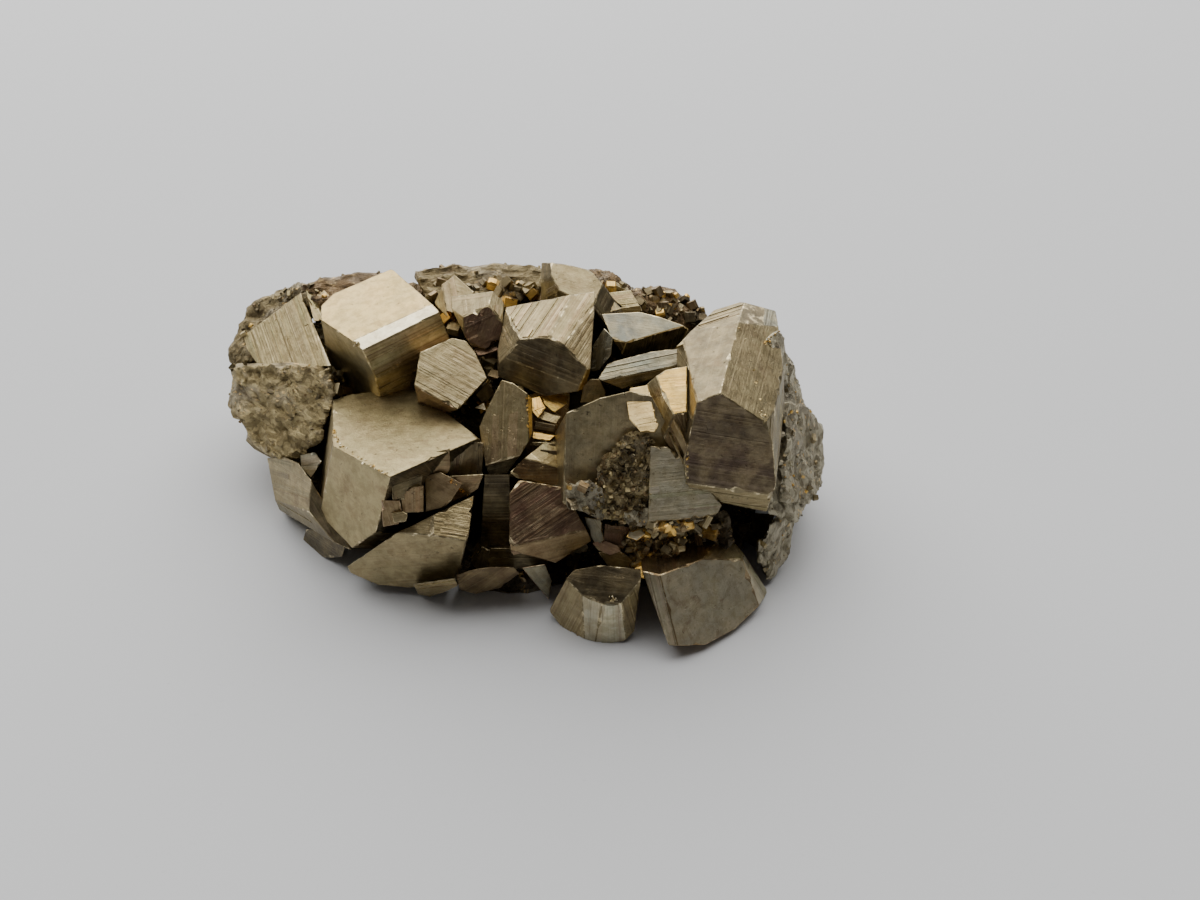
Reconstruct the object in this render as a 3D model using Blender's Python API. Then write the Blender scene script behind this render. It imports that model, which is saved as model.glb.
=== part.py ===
"""Pyrite specimen: a palm-sized cluster of brassy crystals grown together on a rough broken base.

The cluster is described as it is seen from its best side. Each large crystal is given by its main
face: the corners of that face as they appear in the reference view, the way the face looks, how far it
stands out towards the viewer, and the angle by which each side face turns away at each edge. Every
crystal is then cut from a block by those planes, and all of them are joined in one solid.
"""

import heapq
import itertools
import math
import random

import bmesh
import bpy
import numpy as np
from mathutils import Matrix, Vector, noise

MM = 0.001

# The reference view: its frame in pixels, its lens, and where it looks from.
FRAME_WIDTH = 1200
FRAME_HEIGHT = 900
FOCAL_LENGTH = 1080.0
VIEW_ELEVATION = math.radians(38)
VIEW_DISTANCE = 200 * MM
VIEW_TARGET = Vector((14, 0, 22)) * MM

# Overall sizes.
BLOCK_SIZE = 120 * MM
CRYSTAL_DEPTH = 16.0
HIDDEN = 0
HIDDEN_TUCK = 9
MERGE = 0.001 * MM
MEETING = 0.02 * MM
NOISE_SEED = 3
FLAT = math.radians(0.6)

# The planes that bound the heart of the specimen: a point of each, in millimetres, and where it looks.
HEART_PLANES = [
    ((0, 12, 15), (0.0, -0.50, 0.87)),
    ((0, 45, 15), (0.0, 1.0, 0.15)),
    ((-44, 38, 15), (-0.60, 0.80, 0.10)),
    ((42, 34, 15), (0.65, 0.76, 0.10)),
    ((-53, 15, 20), (-0.95, -0.10, 0.25)),
    ((-52, 15, 16), (-0.80, -0.25, -0.55)),
    ((50, 10, 20), (0.97, -0.10, 0.20)),
    ((50, 5, 20), (0.90, -0.30, -0.30)),
    ((-20, -10, 4), (-0.45, -0.80, -0.40)),
    ((20, 30, 34), (0.10, 0.20, 0.97)),
    ((0, 0, -3), (0.0, 0.0, -1.0)),
]

RIGHT = Vector((1, 0, 0))
UP = Vector((0, math.sin(VIEW_ELEVATION), math.cos(VIEW_ELEVATION)))
TOWARDS = Vector((0, -math.cos(VIEW_ELEVATION), math.sin(VIEW_ELEVATION)))
EYE = VIEW_TARGET + VIEW_DISTANCE * TOWARDS


def sight_line(pixel):
    """The direction from the eye through a pixel of the reference view."""
    across = (pixel[0] - FRAME_WIDTH / 2) / FOCAL_LENGTH
    above = (FRAME_HEIGHT / 2 - pixel[1]) / FOCAL_LENGTH
    return across * RIGHT + above * UP - TOWARDS


def seen_at(pixel, height):
    """The point that shows at a pixel and stands height millimetres nearer than the target."""
    return EYE + (VIEW_DISTANCE - height * MM) * sight_line(pixel)


def looking(azimuth, elevation):
    """A direction: azimuth 0 is towards the viewer's side, positive to the right."""
    a = math.radians(azimuth)
    e = math.radians(elevation)
    return Vector((math.sin(a) * math.cos(e), -math.cos(a) * math.cos(e), math.sin(e)))


def on_plane(pixel, point, normal):
    """Where the sight line of a pixel meets a plane."""
    line = sight_line(pixel)
    return EYE + line * ((point - EYE).dot(normal) / line.dot(normal))


def folded(face, first, second, centre, angle):
    """The plane that turns back by angle degrees from a face, at the edge seen between two pixels. The
    crystal lies on the same side of the edge as the centre pixel. A hidden plane turns back just behind
    the line of sight, so it never shows in the reference view."""
    point, normal = face
    start = on_plane(first, point, normal)
    along = (on_plane(second, point, normal) - start).normalized()
    outward = along.cross(normal).normalized()
    across = Vector((second[1] - first[1], second[0] - first[0]))
    centre_side = across.dot(Vector((centre[0] - first[0], first[1] - centre[1])))
    if centre_side * across.dot(Vector((outward.dot(RIGHT), outward.dot(UP)))) > 0:
        outward = -outward
    if angle == HIDDEN:
        sight = (start - EYE).normalized()
        behind = (sight - along * sight.dot(along)).normalized()
        edge_on = along.cross(behind)
        if edge_on.dot(outward) < 0:
            edge_on = -edge_on
        turn = math.radians(HIDDEN_TUCK)
        return start, (edge_on * math.cos(turn) + behind * math.sin(turn)).normalized()
    turn = math.radians(angle)
    return start, (normal * math.cos(turn) + outward * math.sin(turn)).normalized()


def cut_block(planes, centre):
    """The convex solid inside all the planes, each a point and an outward normal."""
    walls = list(planes)
    for axis in range(3):
        for sign in (-1, 1):
            way = Vector((0, 0, 0))
            way[axis] = sign
            walls.append((centre + way * BLOCK_SIZE / 2, way))
    normals = np.array([normal for _, normal in walls])
    reach = np.array([point.dot(normal) for point, normal in walls])
    corners = []
    for three in itertools.combinations(range(len(walls)), 3):
        meeting = normals[list(three)]
        if abs(np.linalg.det(meeting)) < 1e-5:
            continue
        corner = np.linalg.solve(meeting, reach[list(three)])
        outside = (normals @ corner - reach).max() > 1e-7
        if not outside and all(abs(corner - known).max() > MEETING for known in corners):
            corners.append(corner)
    form = bmesh.new()
    for corner in corners:
        form.verts.new(corner)
    bmesh.ops.convex_hull(form, input=form.verts[:])
    bmesh.ops.dissolve_limit(form, angle_limit=FLAT / 2, verts=form.verts[:], edges=form.edges[:])
    bmesh.ops.recalc_face_normals(form, faces=form.faces[:])
    return built(*in_order(form))


def in_order(form):
    """The points and the faces of a shape, sorted by place, so that every run gives the same mesh."""
    corners = sorted(form.verts, key=lambda vert: tuple(round(x / MM, 3) for x in vert.co))
    place = {vert: i for i, vert in enumerate(corners)}
    faces = []
    for face in form.faces:
        loop = [place[vert] for vert in face.verts]
        first = loop.index(min(loop))
        faces.append(tuple(loop[first:] + loop[:first]))
    points = [vert.co.copy() for vert in corners]
    form.free()
    return points, sorted(faces)


def built(points, faces):
    """A shape from its points and its faces."""
    form = bmesh.new()
    corners = [form.verts.new(point) for point in points]
    for face in faces:
        form.faces.new([corners[i] for i in face])
    return form


def to_object(form, name):
    """Puts a bmesh in the scene as an object."""
    mesh = bpy.data.meshes.new(name)
    form.to_mesh(mesh)
    form.free()
    made = bpy.data.objects.new(name, mesh)
    bpy.context.scene.collection.objects.link(made)
    return made


def crystal_form(looks, height, outline, depth, cuts=()):
    """The shape of a crystal from its main face. Each corner of the outline is (pixel x, pixel y, fold),
    the fold being that of the side which starts there. A cut is (face, pixel, pixel, fold), where face 0
    is the main face, face n the nth side and later numbers the earlier cuts. A fifth item is a pixel on
    the kept side of the cut, where the middle of the outline would not tell."""
    normal = looking(*looks)
    pixels = [corner[:2] for corner in outline]
    middle = [sum(p[i] for p in pixels) / len(pixels) for i in (0, 1)]
    point = seen_at(middle, height)
    planes = [(point, normal)]
    for i, corner in enumerate(outline):
        following = pixels[(i + 1) % len(pixels)]
        planes.append(folded(planes[0], pixels[i], following, middle, corner[2]))
    for face, first, second, fold, *inside in cuts:
        planes.append(folded(planes[face], first, second, (inside or [middle])[0], fold))
    planes.append((point - normal * depth * MM, -normal))
    return cut_block(planes, point - normal * depth * MM / 2)


def crystal(name, looks, height, outline, depth=CRYSTAL_DEPTH, cuts=()):
    """A crystal with flat faces."""
    return to_object(crystal_form(looks, height, outline, depth, cuts), name)


def facet(name, looks, height, corners, depth=13.0):
    """A small crystal of which only the main face shows."""
    return crystal(name, looks, height, [(x, y, HIDDEN) for x, y in corners], depth)


def split_evenly(points, faces, cell):
    """Fans each face out from its middle, then halves the longest edge until none is longer than a cell."""
    triangles = set()
    for face in faces:
        middle = len(points)
        points.append(sum((points[i] for i in face), Vector()) / len(face))
        for i, corner in enumerate(face):
            triangles.add((middle, corner, face[(i + 1) % len(face)]))
    beside = {}

    def note(triangle):
        for i in range(3):
            edge = tuple(sorted((triangle[i], triangle[(i + 1) % 3])))
            beside.setdefault(edge, set()).add(triangle)
            heapq.heappush(longest, (-round((points[edge[0]] - points[edge[1]]).length / MM, 4), edge))

    longest = []
    for triangle in sorted(triangles):
        note(triangle)
    while -longest[0][0] > cell:
        edge = heapq.heappop(longest)[1]
        if not beside.get(edge):
            continue
        middle = len(points)
        points.append((points[edge[0]] + points[edge[1]]) / 2)
        for triangle in sorted(beside.pop(edge)):
            triangles.remove(triangle)
            for i in range(3):
                side = tuple(sorted((triangle[i], triangle[(i + 1) % 3])))
                beside.get(side, set()).discard(triangle)
            for old in edge:
                half = tuple(middle if corner == old else corner for corner in triangle)
                triangles.add(half)
                note(half)
    return points, sorted(triangles)


def roughened(form, cell, roughness, grain, seed):
    """Breaks the faces of a shape into cells and roughens them, all in millimetres."""
    points, triangles = split_evenly(*in_order(form), cell)
    shift = Vector((7.3, 3.1, 5.7)) * seed
    for point in points:
        sample = point / MM / grain + shift
        rough = noise.noise_vector(sample) + 0.25 * noise.noise_vector(sample * 2.1)
        point += rough * roughness * MM
    return built(points, triangles)


def rubble(name, looks, height, corners, depth=12.0, cell=5.4, roughness=1.0, grain=4.5, seed=1):
    """A piece of rough broken ground whose outline is given in the view."""
    form = crystal_form(looks, height, [(x, y, HIDDEN) for x, y in corners], depth)
    return to_object(roughened(form, cell, roughness, grain, seed), name)


def heart():
    """The massive pyrite in the middle that every crystal stands on."""
    planes = [(Vector(place) * MM, Vector(way).normalized()) for place, way in HEART_PLANES]
    form = cut_block(planes, Vector((0, 10, 15)) * MM)
    return to_object(roughened(form, 8.5, 1.9, 12.0, 1), "heart")


def free_crystal(name, centre, size, looks, roll=0.0, bevel=0.25):
    """A blocky crystal anywhere: sizes in millimetres, with pyritohedral faces cut on its edges."""
    half = Vector(size) * MM / 2
    front = looking(*looks)
    turned = front.to_track_quat("Z", "Y").to_matrix() @ Matrix.Rotation(math.radians(roll), 3, "Z")
    planes = []
    for axis in range(3):
        for sign in (-1, 1):
            normal = Vector((0, 0, 0))
            normal[axis] = sign
            planes.append((centre + turned @ (normal * half[axis]), turned @ normal))
    for axis in range(3):
        other = (axis + 1) % 3
        for sign in (-1, 1):
            for side in (-1, 1):
                normal = Vector((0, 0, 0))
                normal[axis] = 2 * sign
                normal[other] = side
                normal.normalize()
                reach = abs(normal[axis]) * half[axis] + abs(normal[other]) * half[other]
                reach -= bevel * min(half)
                planes.append((centre + turned @ (normal * reach), turned @ normal))
    return to_object(cut_block(planes, centre), name)


def rock(name, centre, radii, seed, detail=3, roughness=1.6, grain=7.0, flats=7, turn=0.0):
    """A lump of broken massive pyrite: a ball, roughened, with some flat breaks."""
    draw = random.Random(seed)
    form = bmesh.new()
    bmesh.ops.create_icosphere(form, subdivisions=detail, radius=1)
    breaks = []
    for _ in range(flats):
        way = Vector((draw.gauss(0, 1), draw.gauss(0, 1), draw.gauss(0, 1))).normalized()
        breaks.append((way, draw.uniform(0.72, 0.9)))
    shift = Vector((draw.uniform(-9, 9), draw.uniform(-9, 9), draw.uniform(-9, 9)))
    spin = Matrix.Rotation(math.radians(turn), 3, "Z")
    for vert in form.verts:
        way = vert.co.normalized()
        reach = 1.0
        for normal, limit in breaks:
            along = way.dot(normal)
            if along > 0.05:
                reach = min(reach, limit / along)
        place = Vector(way[i] * reach * radii[i] for i in range(3))
        sample = place / grain + shift
        rough = noise.noise(sample) + 0.5 * noise.noise(sample * 2.3)
        place += way * rough * roughness
        vert.co = centre + spin @ place * MM
    return to_object(form, name)


def large_crystals():
    """The crystals of the best side, each from the view."""
    return [
        crystal("bright_block", (-42, 80), -6, [
            (352, 341, 27), (434, 303, HIDDEN), (413, 269, HIDDEN), (398, 266, HIDDEN),
            (333, 294, HIDDEN), (321, 306, 80), (321, 320, 90)],
            depth=15, cuts=[(1, (359, 352), (440, 312), 62), (8, (364, 381), (450, 338), 24),
                            (8, (455, 333), (440, 312), HIDDEN)]),
        crystal("ribbed_wedge", (12, 58), 2, [
            (414, 385, HIDDEN), (420, 352, HIDDEN), (452, 338, HIDDEN), (466, 341, HIDDEN),
            (475, 352, HIDDEN), (487, 378, HIDDEN), (458, 410, 90)], depth=14),
        crystal("broad_shield", (-178, 83), 4, [
            (333, 400, HIDDEN), (352, 394, HIDDEN), (412, 388, HIDDEN), (447, 407, 40),
            (470, 431, HIDDEN), (479, 438, 112), (390, 477, 88), (333, 446, 75)],
            depth=24, cuts=[(7, (309, 503), (330, 448), 35), (7, (390, 477), (379, 530), 75, (350, 500)),
                            (7, (379, 530), (352, 548), 70), (7, (352, 548), (309, 503), 60)]),
        crystal("left_flat", (-48, 52), -16, [
            (303, 291, 15), (313, 322, HIDDEN), (332, 366, HIDDEN), (262, 370, HIDDEN),
            (247, 350, HIDDEN), (243, 336, HIDDEN)], depth=12),
        crystal("left_bevel", (-30, 62), -15, [
            (305, 288, HIDDEN), (318, 283, HIDDEN), (331, 296, HIDDEN), (322, 320, HIDDEN),
            (314, 322, HIDDEN)], depth=9),
        crystal("left_low", (-58, 22), -7, [
            (267, 458, HIDDEN), (285, 457, HIDDEN), (298, 463, HIDDEN), (311, 480, 50),
            (309, 512, 35), (275, 500, HIDDEN)], depth=16,
            cuts=[(5, (340, 546), (296, 520), HIDDEN)]),
        crystal("front_low_left", (-8, -6), 6, [
            (354, 549, 50), (388, 532, 62), (430, 535, 62), (466, 541, 75),
            (461, 566, HIDDEN), (457, 580, HIDDEN), (410, 588, 70), (378, 585, 60),
            (350, 573, HIDDEN), (344, 560, HIDDEN)], depth=16,
            cuts=[(3, (430, 516), (474, 495), HIDDEN)]),
        crystal("dark_column", (4, 12), -1, [
            (484, 474, HIDDEN), (510, 474, HIDDEN), (512, 552, 70), (490, 567, 60),
            (480, 545, HIDDEN)], depth=14),
        crystal("column_base", (8, 4), 2, [
            (490, 548, HIDDEN), (516, 548, HIDDEN), (549, 559, HIDDEN), (545, 571, 60),
            (488, 567, HIDDEN)], depth=14),
        crystal("speckled_slab", (-8, 36), 6, [
            (499, 379, HIDDEN), (513, 383, HIDDEN), (527, 393, 50), (529, 441, HIDDEN),
            (521, 455, 48), (485, 465, HIDDEN), (481, 440, HIDDEN), (479, 425, HIDDEN),
            (486, 411, HIDDEN), (492, 396, HIDDEN)], depth=15,
            cuts=[(3, (532, 393), (533, 441), HIDDEN), (5, (511, 474), (484, 475), HIDDEN)]),
        crystal("purple_striped", (3, 43), 10, [
            (519, 480, HIDDEN), (563, 487, HIDDEN), (587, 530, 32), (514, 546, 40),
            (509, 540, HIDDEN), (509, 494, HIDDEN)],
            depth=18, cuts=[(3, (592, 541), (556, 563), HIDDEN), (3, (556, 563), (510, 551), HIDDEN)]),
        crystal("brown_cap", (6, 33), 5, [
            (524, 458, 40), (541, 462, 45), (563, 469, HIDDEN), (563, 487, HIDDEN),
            (519, 479, 60), (510, 472, HIDDEN)], depth=14),
        crystal("central_block", (-14, 20), 3, [
            (520, 339, 60), (549, 337, 58), (563, 344, 58), (587, 370, 60), (577, 392, HIDDEN),
            (545, 397, HIDDEN), (497, 377, 60), (499, 365, 50), (508, 354, 42)], depth=20,
            cuts=[(0, (503, 357), (580, 386), 8), (2, (506, 302), (592, 292), HIDDEN),
                  (4, (604, 310), (590, 372), HIDDEN), (1, (502, 322), (508, 300), HIDDEN),
                  (9, (497, 330), (497, 366), HIDDEN)]),
        crystal("cap_crystal", (14, 62), -9, [
            (551, 262, HIDDEN), (570, 265, HIDDEN), (590, 270, HIDDEN), (603, 284, 40),
            (592, 306, 80), (560, 291, 62), (552, 277, 55)], depth=11,
            cuts=[(7, (541, 270), (540, 290), HIDDEN)]),
        crystal("amber_prism", (-2, 33), -4, [
            (463, 317, 50), (488, 305, 50), (503, 323, HIDDEN), (500, 340, HIDDEN),
            (486, 349, 60), (470, 345, HIDDEN), (464, 335, 50)], depth=15,
            cuts=[(1, (471, 294), (486, 292), HIDDEN), (2, (496, 294), (507, 306), HIDDEN),
                  (7, (454, 323), (456, 333), HIDDEN)]),
        crystal("grey_roof", (22, 66), -3, [
            (602, 314, HIDDEN), (640, 312, HIDDEN), (660, 317, HIDDEN), (690, 328, HIDDEN),
            (684, 349, 80), (640, 345, 75), (625, 342, 28), (611, 337, HIDDEN),
            (606, 325, HIDDEN)], depth=14, cuts=[(7, (611, 351), (625, 343), 60)]),
        crystal("long_bar", (2, 60), 4, [
            (608, 363, HIDDEN), (650, 352, HIDDEN), (686, 347, HIDDEN), (690, 352, HIDDEN),
            (688, 363, 45), (602, 381, HIDDEN), (598, 379, HIDDEN)], depth=14,
            cuts=[(5, (650, 380), (606, 394), 60)]),
        crystal("gold_column", (5, 57), 15, [
            (653, 378, HIDDEN), (665, 370, HIDDEN), (687, 366, 75), (687, 412, 45),
            (671, 415, 50), (665, 399, 45)], depth=20,
            cuts=[(4, (697, 449), (684, 457), HIDDEN), (5, (667, 447), (656, 420), HIDDEN)]),
        crystal("middle_block", (3, 18), 14, [
            (566, 413, HIDDEN), (600, 398, HIDDEN), (630, 391, HIDDEN), (652, 396, HIDDEN),
            (684, 457, HIDDEN), (688, 489, HIDDEN), (684, 521, 82), (640, 523, 82),
            (600, 519, 82), (563, 504, 84)], depth=26),
        crystal("low_plate", (5, 24), 15, [
            (650, 446, HIDDEN), (668, 447, HIDDEN), (684, 459, HIDDEN), (722, 505, HIDDEN),
            (718, 513, 60), (700, 518, 70), (648, 522, HIDDEN)], depth=14),
        crystal("right_tower", (2, 16), 17, [
            (697, 402, 74), (720, 393, 62), (766, 423, 58), (773, 445, 70), (776, 485, 85),
            (768, 512, 70), (722, 503, 75), (687, 489, 85), (684, 459, 85)], depth=36,
            cuts=[(1, (741, 322), (698, 330), 12), (2, (757, 324), (741, 322), 14),
                  (10, (691, 331), (714, 310), HIDDEN), (10, (714, 310), (740, 302), HIDDEN),
                  (10, (740, 302), (752, 303), HIDDEN), (11, (761, 303), (776, 311), HIDDEN),
                  (11, (776, 311), (780, 334), HIDDEN), (0, (686, 483), (772, 496), 14)]),
        crystal("bottom_ball", (-3, 46), 14, [
            (566, 579, 55), (582, 595, 48), (602, 604, 48), (621, 604, 56), (641, 580, HIDDEN),
            (641, 569, HIDDEN), (600, 565, HIDDEN), (574, 570, HIDDEN)], depth=24,
            cuts=[(1, (550, 598), (550, 612), HIDDEN), (1, (550, 612), (565, 632), HIDDEN),
                  (2, (565, 632), (585, 642), HIDDEN), (3, (585, 642), (605, 645), HIDDEN),
                  (3, (605, 645), (625, 641), HIDDEN), (4, (625, 641), (640, 625), HIDDEN)]),
        crystal("bottom_right", (38, 38), 9, [
            (660, 575, 60), (703, 559, 40), (743, 560, 36), (759, 606, HIDDEN),
            (735, 629, HIDDEN), (705, 645, HIDDEN), (678, 646, 50)], depth=24,
            cuts=[(7, (645, 580), (668, 644), HIDDEN), (2, (733, 540), (725, 536), HIDDEN),
                  (3, (736, 541), (767, 590), HIDDEN)]),
    ]


def broken_steps():
    """The stepped breaks in front of the broad crystal and in the hollow at the middle."""
    return [
        crystal("step_back", (12, 12), 6, [
            (383, 500, HIDDEN), (392, 480, HIDDEN), (420, 461, HIDDEN), (448, 446, HIDDEN),
            (470, 441, HIDDEN), (484, 443, HIDDEN), (482, 478, HIDDEN), (470, 495, HIDDEN),
            (445, 508, HIDDEN), (399, 527, HIDDEN), (383, 527, HIDDEN)], depth=14),
        facet("step_dark", (30, 6), 8, [
            (448, 447), (470, 441), (484, 443), (482, 478), (460, 482), (449, 476)]),
        facet("step_plates", (5, 14), 12, [
            (420, 462), (432, 452), (450, 448), (451, 466), (448, 474), (424, 474)]),
        facet("step_slab", (-8, 20), 11, [
            (425, 476), (440, 472), (452, 478), (462, 484), (452, 500), (445, 507), (426, 512)]),
        facet("step_behind", (18, 4), 8, [
            (448, 476), (484, 474), (478, 490), (470, 494), (450, 506), (446, 500)]),
        facet("step_upper", (42, 12), 15, [
            (392, 480), (412, 473), (423, 476), (421, 488), (404, 500), (392, 500)]),
        facet("step_middle", (20, 14), 14, [
            (400, 494), (412, 487), (424, 485), (424, 512), (402, 513)]),
        facet("step_low", (8, 16), 14.5, [
            (381, 500), (400, 500), (402, 512), (399, 524), (383, 527)]),
        facet("step_chip", (-12, 24), 15, [
            (391, 513), (402, 511), (408, 514), (406, 522), (394, 523)]),
        crystal("stair_back", (0, 30), -2, [
            (527, 395, HIDDEN), (550, 388, HIDDEN), (570, 392, HIDDEN), (567, 450, HIDDEN),
            (563, 472, HIDDEN), (525, 458, HIDDEN)], depth=12),
        facet("stair_fan", (12, 52), 0, [
            (541, 396), (553, 391), (569, 396), (567, 404), (554, 413), (544, 404)]),
        facet("stair_left", (-25, 48), 1, [
            (530, 398), (540, 396), (546, 408), (538, 418), (531, 412)]),
        facet("stair_top", (8, 62), 1, [
            (536, 418), (544, 411), (563, 416), (556, 424)]),
        facet("stair_front", (-6, 12), 1, [
            (535, 421), (556, 425), (554, 433), (534, 429)]),
        facet("stair_ledge", (5, 55), 1.5, [
            (533, 431), (556, 435), (561, 430), (563, 440), (545, 441), (532, 438)]),
        facet("stair_low", (0, 28), 2, [
            (531, 440), (545, 442), (564, 442), (563, 450), (530, 446)]),
        facet("stair_base", (4, 22), 3, [
            (540, 449), (563, 451), (563, 470), (541, 462)]),
    ]


def small_facets():
    """The smaller crystals between the large ones."""
    return [
        facet("left_inner", (-12, 34), -10, [(336, 393), (329, 440), (292, 434), (293, 420)]),
        facet("low_left_back", (-8, 45), -1, [
            (330, 545), (352, 546), (379, 528), (440, 508), (474, 495), (470, 522), (430, 537),
            (388, 536), (350, 556)]),
        facet("hollow_glint", (2, 50), -3, [(474, 408), (484, 402), (487, 411)]),
        facet("left_blue", (-60, 35), -5, [(300, 455), (315, 452), (322, 462), (311, 478), (301, 468)]),
        facet("low_left_nub", (-45, 8), -8, [
            (306, 529), (325, 530), (345, 548), (342, 557), (328, 558), (314, 556), (304, 547),
            (303, 540)]),
        facet("tan_block", (-18, 60), -14, [(441, 285), (455, 275), (474, 292), (462, 316), (446, 311)]),
        facet("tan_side", (-48, 42), -15, [(424, 273), (448, 273), (442, 286), (448, 318), (436, 306)]),
        facet("prism_foot", (-5, 55), -5, [(474, 350), (497, 346), (499, 350), (484, 355), (478, 356)]),
        facet("flake_left", (-10, -22), 5, [
            (413, 584), (455, 578), (458, 586), (445, 592), (430, 597), (418, 594)]),
        facet("flake_right", (5, -16), 6, [
            (455, 576), (470, 570), (490, 567), (514, 567), (520, 573), (500, 588), (476, 594),
            (460, 590)]),
        facet("flake_small", (12, -6), 6, [(522, 568), (545, 564), (552, 580), (549, 600), (536, 585)]),
        facet("column_foot", (-20, 20), 2, [(470, 561), (481, 546), (495, 552), (490, 567), (476, 569)]),
        facet("roof_side", (-38, 32), -1, [
            (604, 328), (613, 337), (611, 355), (600, 370), (590, 372), (593, 345)], 12),
        facet("dark_gem", (-10, 20), 3, [
            (583, 386), (590, 379), (600, 379), (606, 392), (603, 402), (580, 403)], 12),
        facet("pale_plate", (4, 58), 18.3, [
            (626, 402), (630, 388), (648, 385), (651, 396), (658, 427), (655, 433), (641, 433),
            (629, 419)], 12),
        facet("top_brown", (20, 60), -14, [(606, 293), (631, 290), (641, 308), (622, 307)], 8),
        facet("top_brown_low", (24, 24), -13, [(618, 308), (640, 305), (643, 312), (624, 313)], 8),
        facet("top_brown_side", (-5, 62), -11, [(600, 296), (606, 293), (622, 309), (604, 314)], 8),
        facet("low_facet_left", (-14, 26), 9, [(583, 516), (601, 520), (604, 541), (597, 546), (590, 536)]),
        facet("low_facet_dark", (10, 28), 8, [(605, 524), (630, 527), (633, 546), (618, 549), (603, 541)]),
        facet("low_facet_tan", (-4, 52), 9, [
            (592, 543), (600, 538), (618, 545), (622, 552), (610, 556), (598, 550)]),
        facet("low_facet_red", (10, 22), 8, [(598, 552), (622, 552), (634, 560), (628, 571), (612, 572)]),
        facet("bright_bit", (10, 60), 11, [(629, 531), (641, 529), (646, 534), (637, 541), (626, 537)]),
        facet("gold_wedge", (0, 55), 10, [(636, 567), (648, 562), (656, 575), (650, 580), (630, 575)]),
        facet("hollow_face", (-40, 40), -6, [(735, 512), (775, 514), (770, 530), (756, 548), (742, 540)]),
    ]


def rough_base():
    """The broken massive pyrite under, behind and between the crystals."""
    return [
        heart(),
        rock("left_mass", Vector((-41, 28, 18)) * MM, (13, 14, 11), 3, roughness=1.0),
        rubble("left_lobe", (-38, 28), -12, [
            (228, 398), (230, 376), (238, 367), (262, 364), (300, 364), (330, 368), (336, 392),
            (322, 440), (300, 455), (262, 455), (250, 437), (230, 416)], 13, seed=2),
        rubble("left_neck", (-38, 42), -17, [
            (231, 350), (262, 340), (312, 345), (338, 372), (338, 396), (300, 392), (236, 388)],
            13, roughness=0.8, seed=13),
        rubble("hollow_floor", (0, 45), -9, [
            (440, 400), (470, 385), (500, 395), (490, 440), (455, 440)], 10, roughness=0.8, seed=14),
        rubble("left_rim", (-40, 55), -22, [
            (228, 354), (232, 345), (250, 308), (262, 300), (282, 289), (300, 282), (320, 290),
            (310, 330), (262, 360), (240, 366)], 10, seed=3),
        rubble("top_left_rim", (-10, 70), -16, [
            (300, 282), (330, 279), (375, 273), (400, 278), (370, 300), (320, 310)], 12,
            roughness=0.8, seed=4),
        rubble("top_rim", (-8, 66), -19, [
            (415, 271), (445, 266), (480, 263), (520, 267), (548, 269), (554, 284), (532, 294),
            (488, 302), (450, 303), (425, 298)], 13, roughness=0.75, grain=5.5, seed=5),
        rubble("top_right_rim", (20, 60), -18, [
            (585, 270), (608, 272), (620, 279), (632, 288), (628, 300), (600, 300), (580, 290)],
            10, seed=6),
        rubble("rear_stub", (10, 62), -22, [
            (628, 292), (650, 289), (668, 291), (676, 297), (679, 310), (676, 325), (640, 320),
            (630, 308)], 13, roughness=0.75, seed=7),
        rubble("right_rough", (52, 26), 2, [
            (764, 345), (779, 331), (790, 360), (800, 385), (808, 412), (816, 440), (818, 470),
            (814, 492), (795, 520), (768, 516), (764, 430)], 14, seed=8),
        rubble("right_spur", (56, 24), 1, [
            (782, 402), (806, 405), (823, 431), (821, 486), (806, 504), (780, 502)],
            8, roughness=0.5, seed=9),
        rubble("right_leg", (48, 10), 0, [
            (771, 522), (783, 512), (797, 512), (790, 548), (768, 581), (757, 562), (758, 545)],
            12, roughness=0.8, seed=10),
        rubble("gravel", (0, 32), 8, [
            (636, 520), (690, 520), (684, 545), (668, 565), (655, 576), (634, 568), (626, 545)],
            8, cell=3.0, roughness=0.7, grain=2.6, seed=11),
        rubble("under_tower", (-10, 20), 4, [
            (680, 520), (725, 512), (735, 545), (705, 562), (665, 572), (662, 556)], 14, seed=12),
    ]


def unseen_sides():
    """The crystals of the back, the ends and the foot, which the best side hides."""
    return [
        free_crystal("back_a", Vector((-27, 41, 21)) * MM, (17, 14, 16), (165, 35), 20),
        free_crystal("back_b", Vector((-8, 43, 15)) * MM, (15, 16, 14), (-170, 20), 50),
        free_crystal("back_c", Vector((10, 39, 25)) * MM, (18, 15, 15), (175, 45), 10),
        free_crystal("back_d", Vector((28, 36, 13)) * MM, (16, 14, 17), (150, 30), 35),
        free_crystal("back_e", Vector((44, 24, 18)) * MM, (13, 12, 14), (125, 35), 60),
        free_crystal("back_low_a", Vector((-21, 43, 7)) * MM, (13, 12, 12), (180, 5), 30),
        free_crystal("back_low_b", Vector((13, 43, 7)) * MM, (14, 13, 11), (160, 0), 70),
        free_crystal("end_left", Vector((-52, 24, 10)) * MM, (13, 12, 11), (-110, 20), 25),
        free_crystal("end_left_low", Vector((-47, 14, 6)) * MM, (11, 10, 10), (-80, 5), 55),
        free_crystal("end_right", Vector((50, 16, 13)) * MM, (12, 12, 12), (100, 15), 40),
        free_crystal("foot_right", Vector((40, 30, 6)) * MM, (12, 11, 11), (130, 5), 15),
    ]


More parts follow.
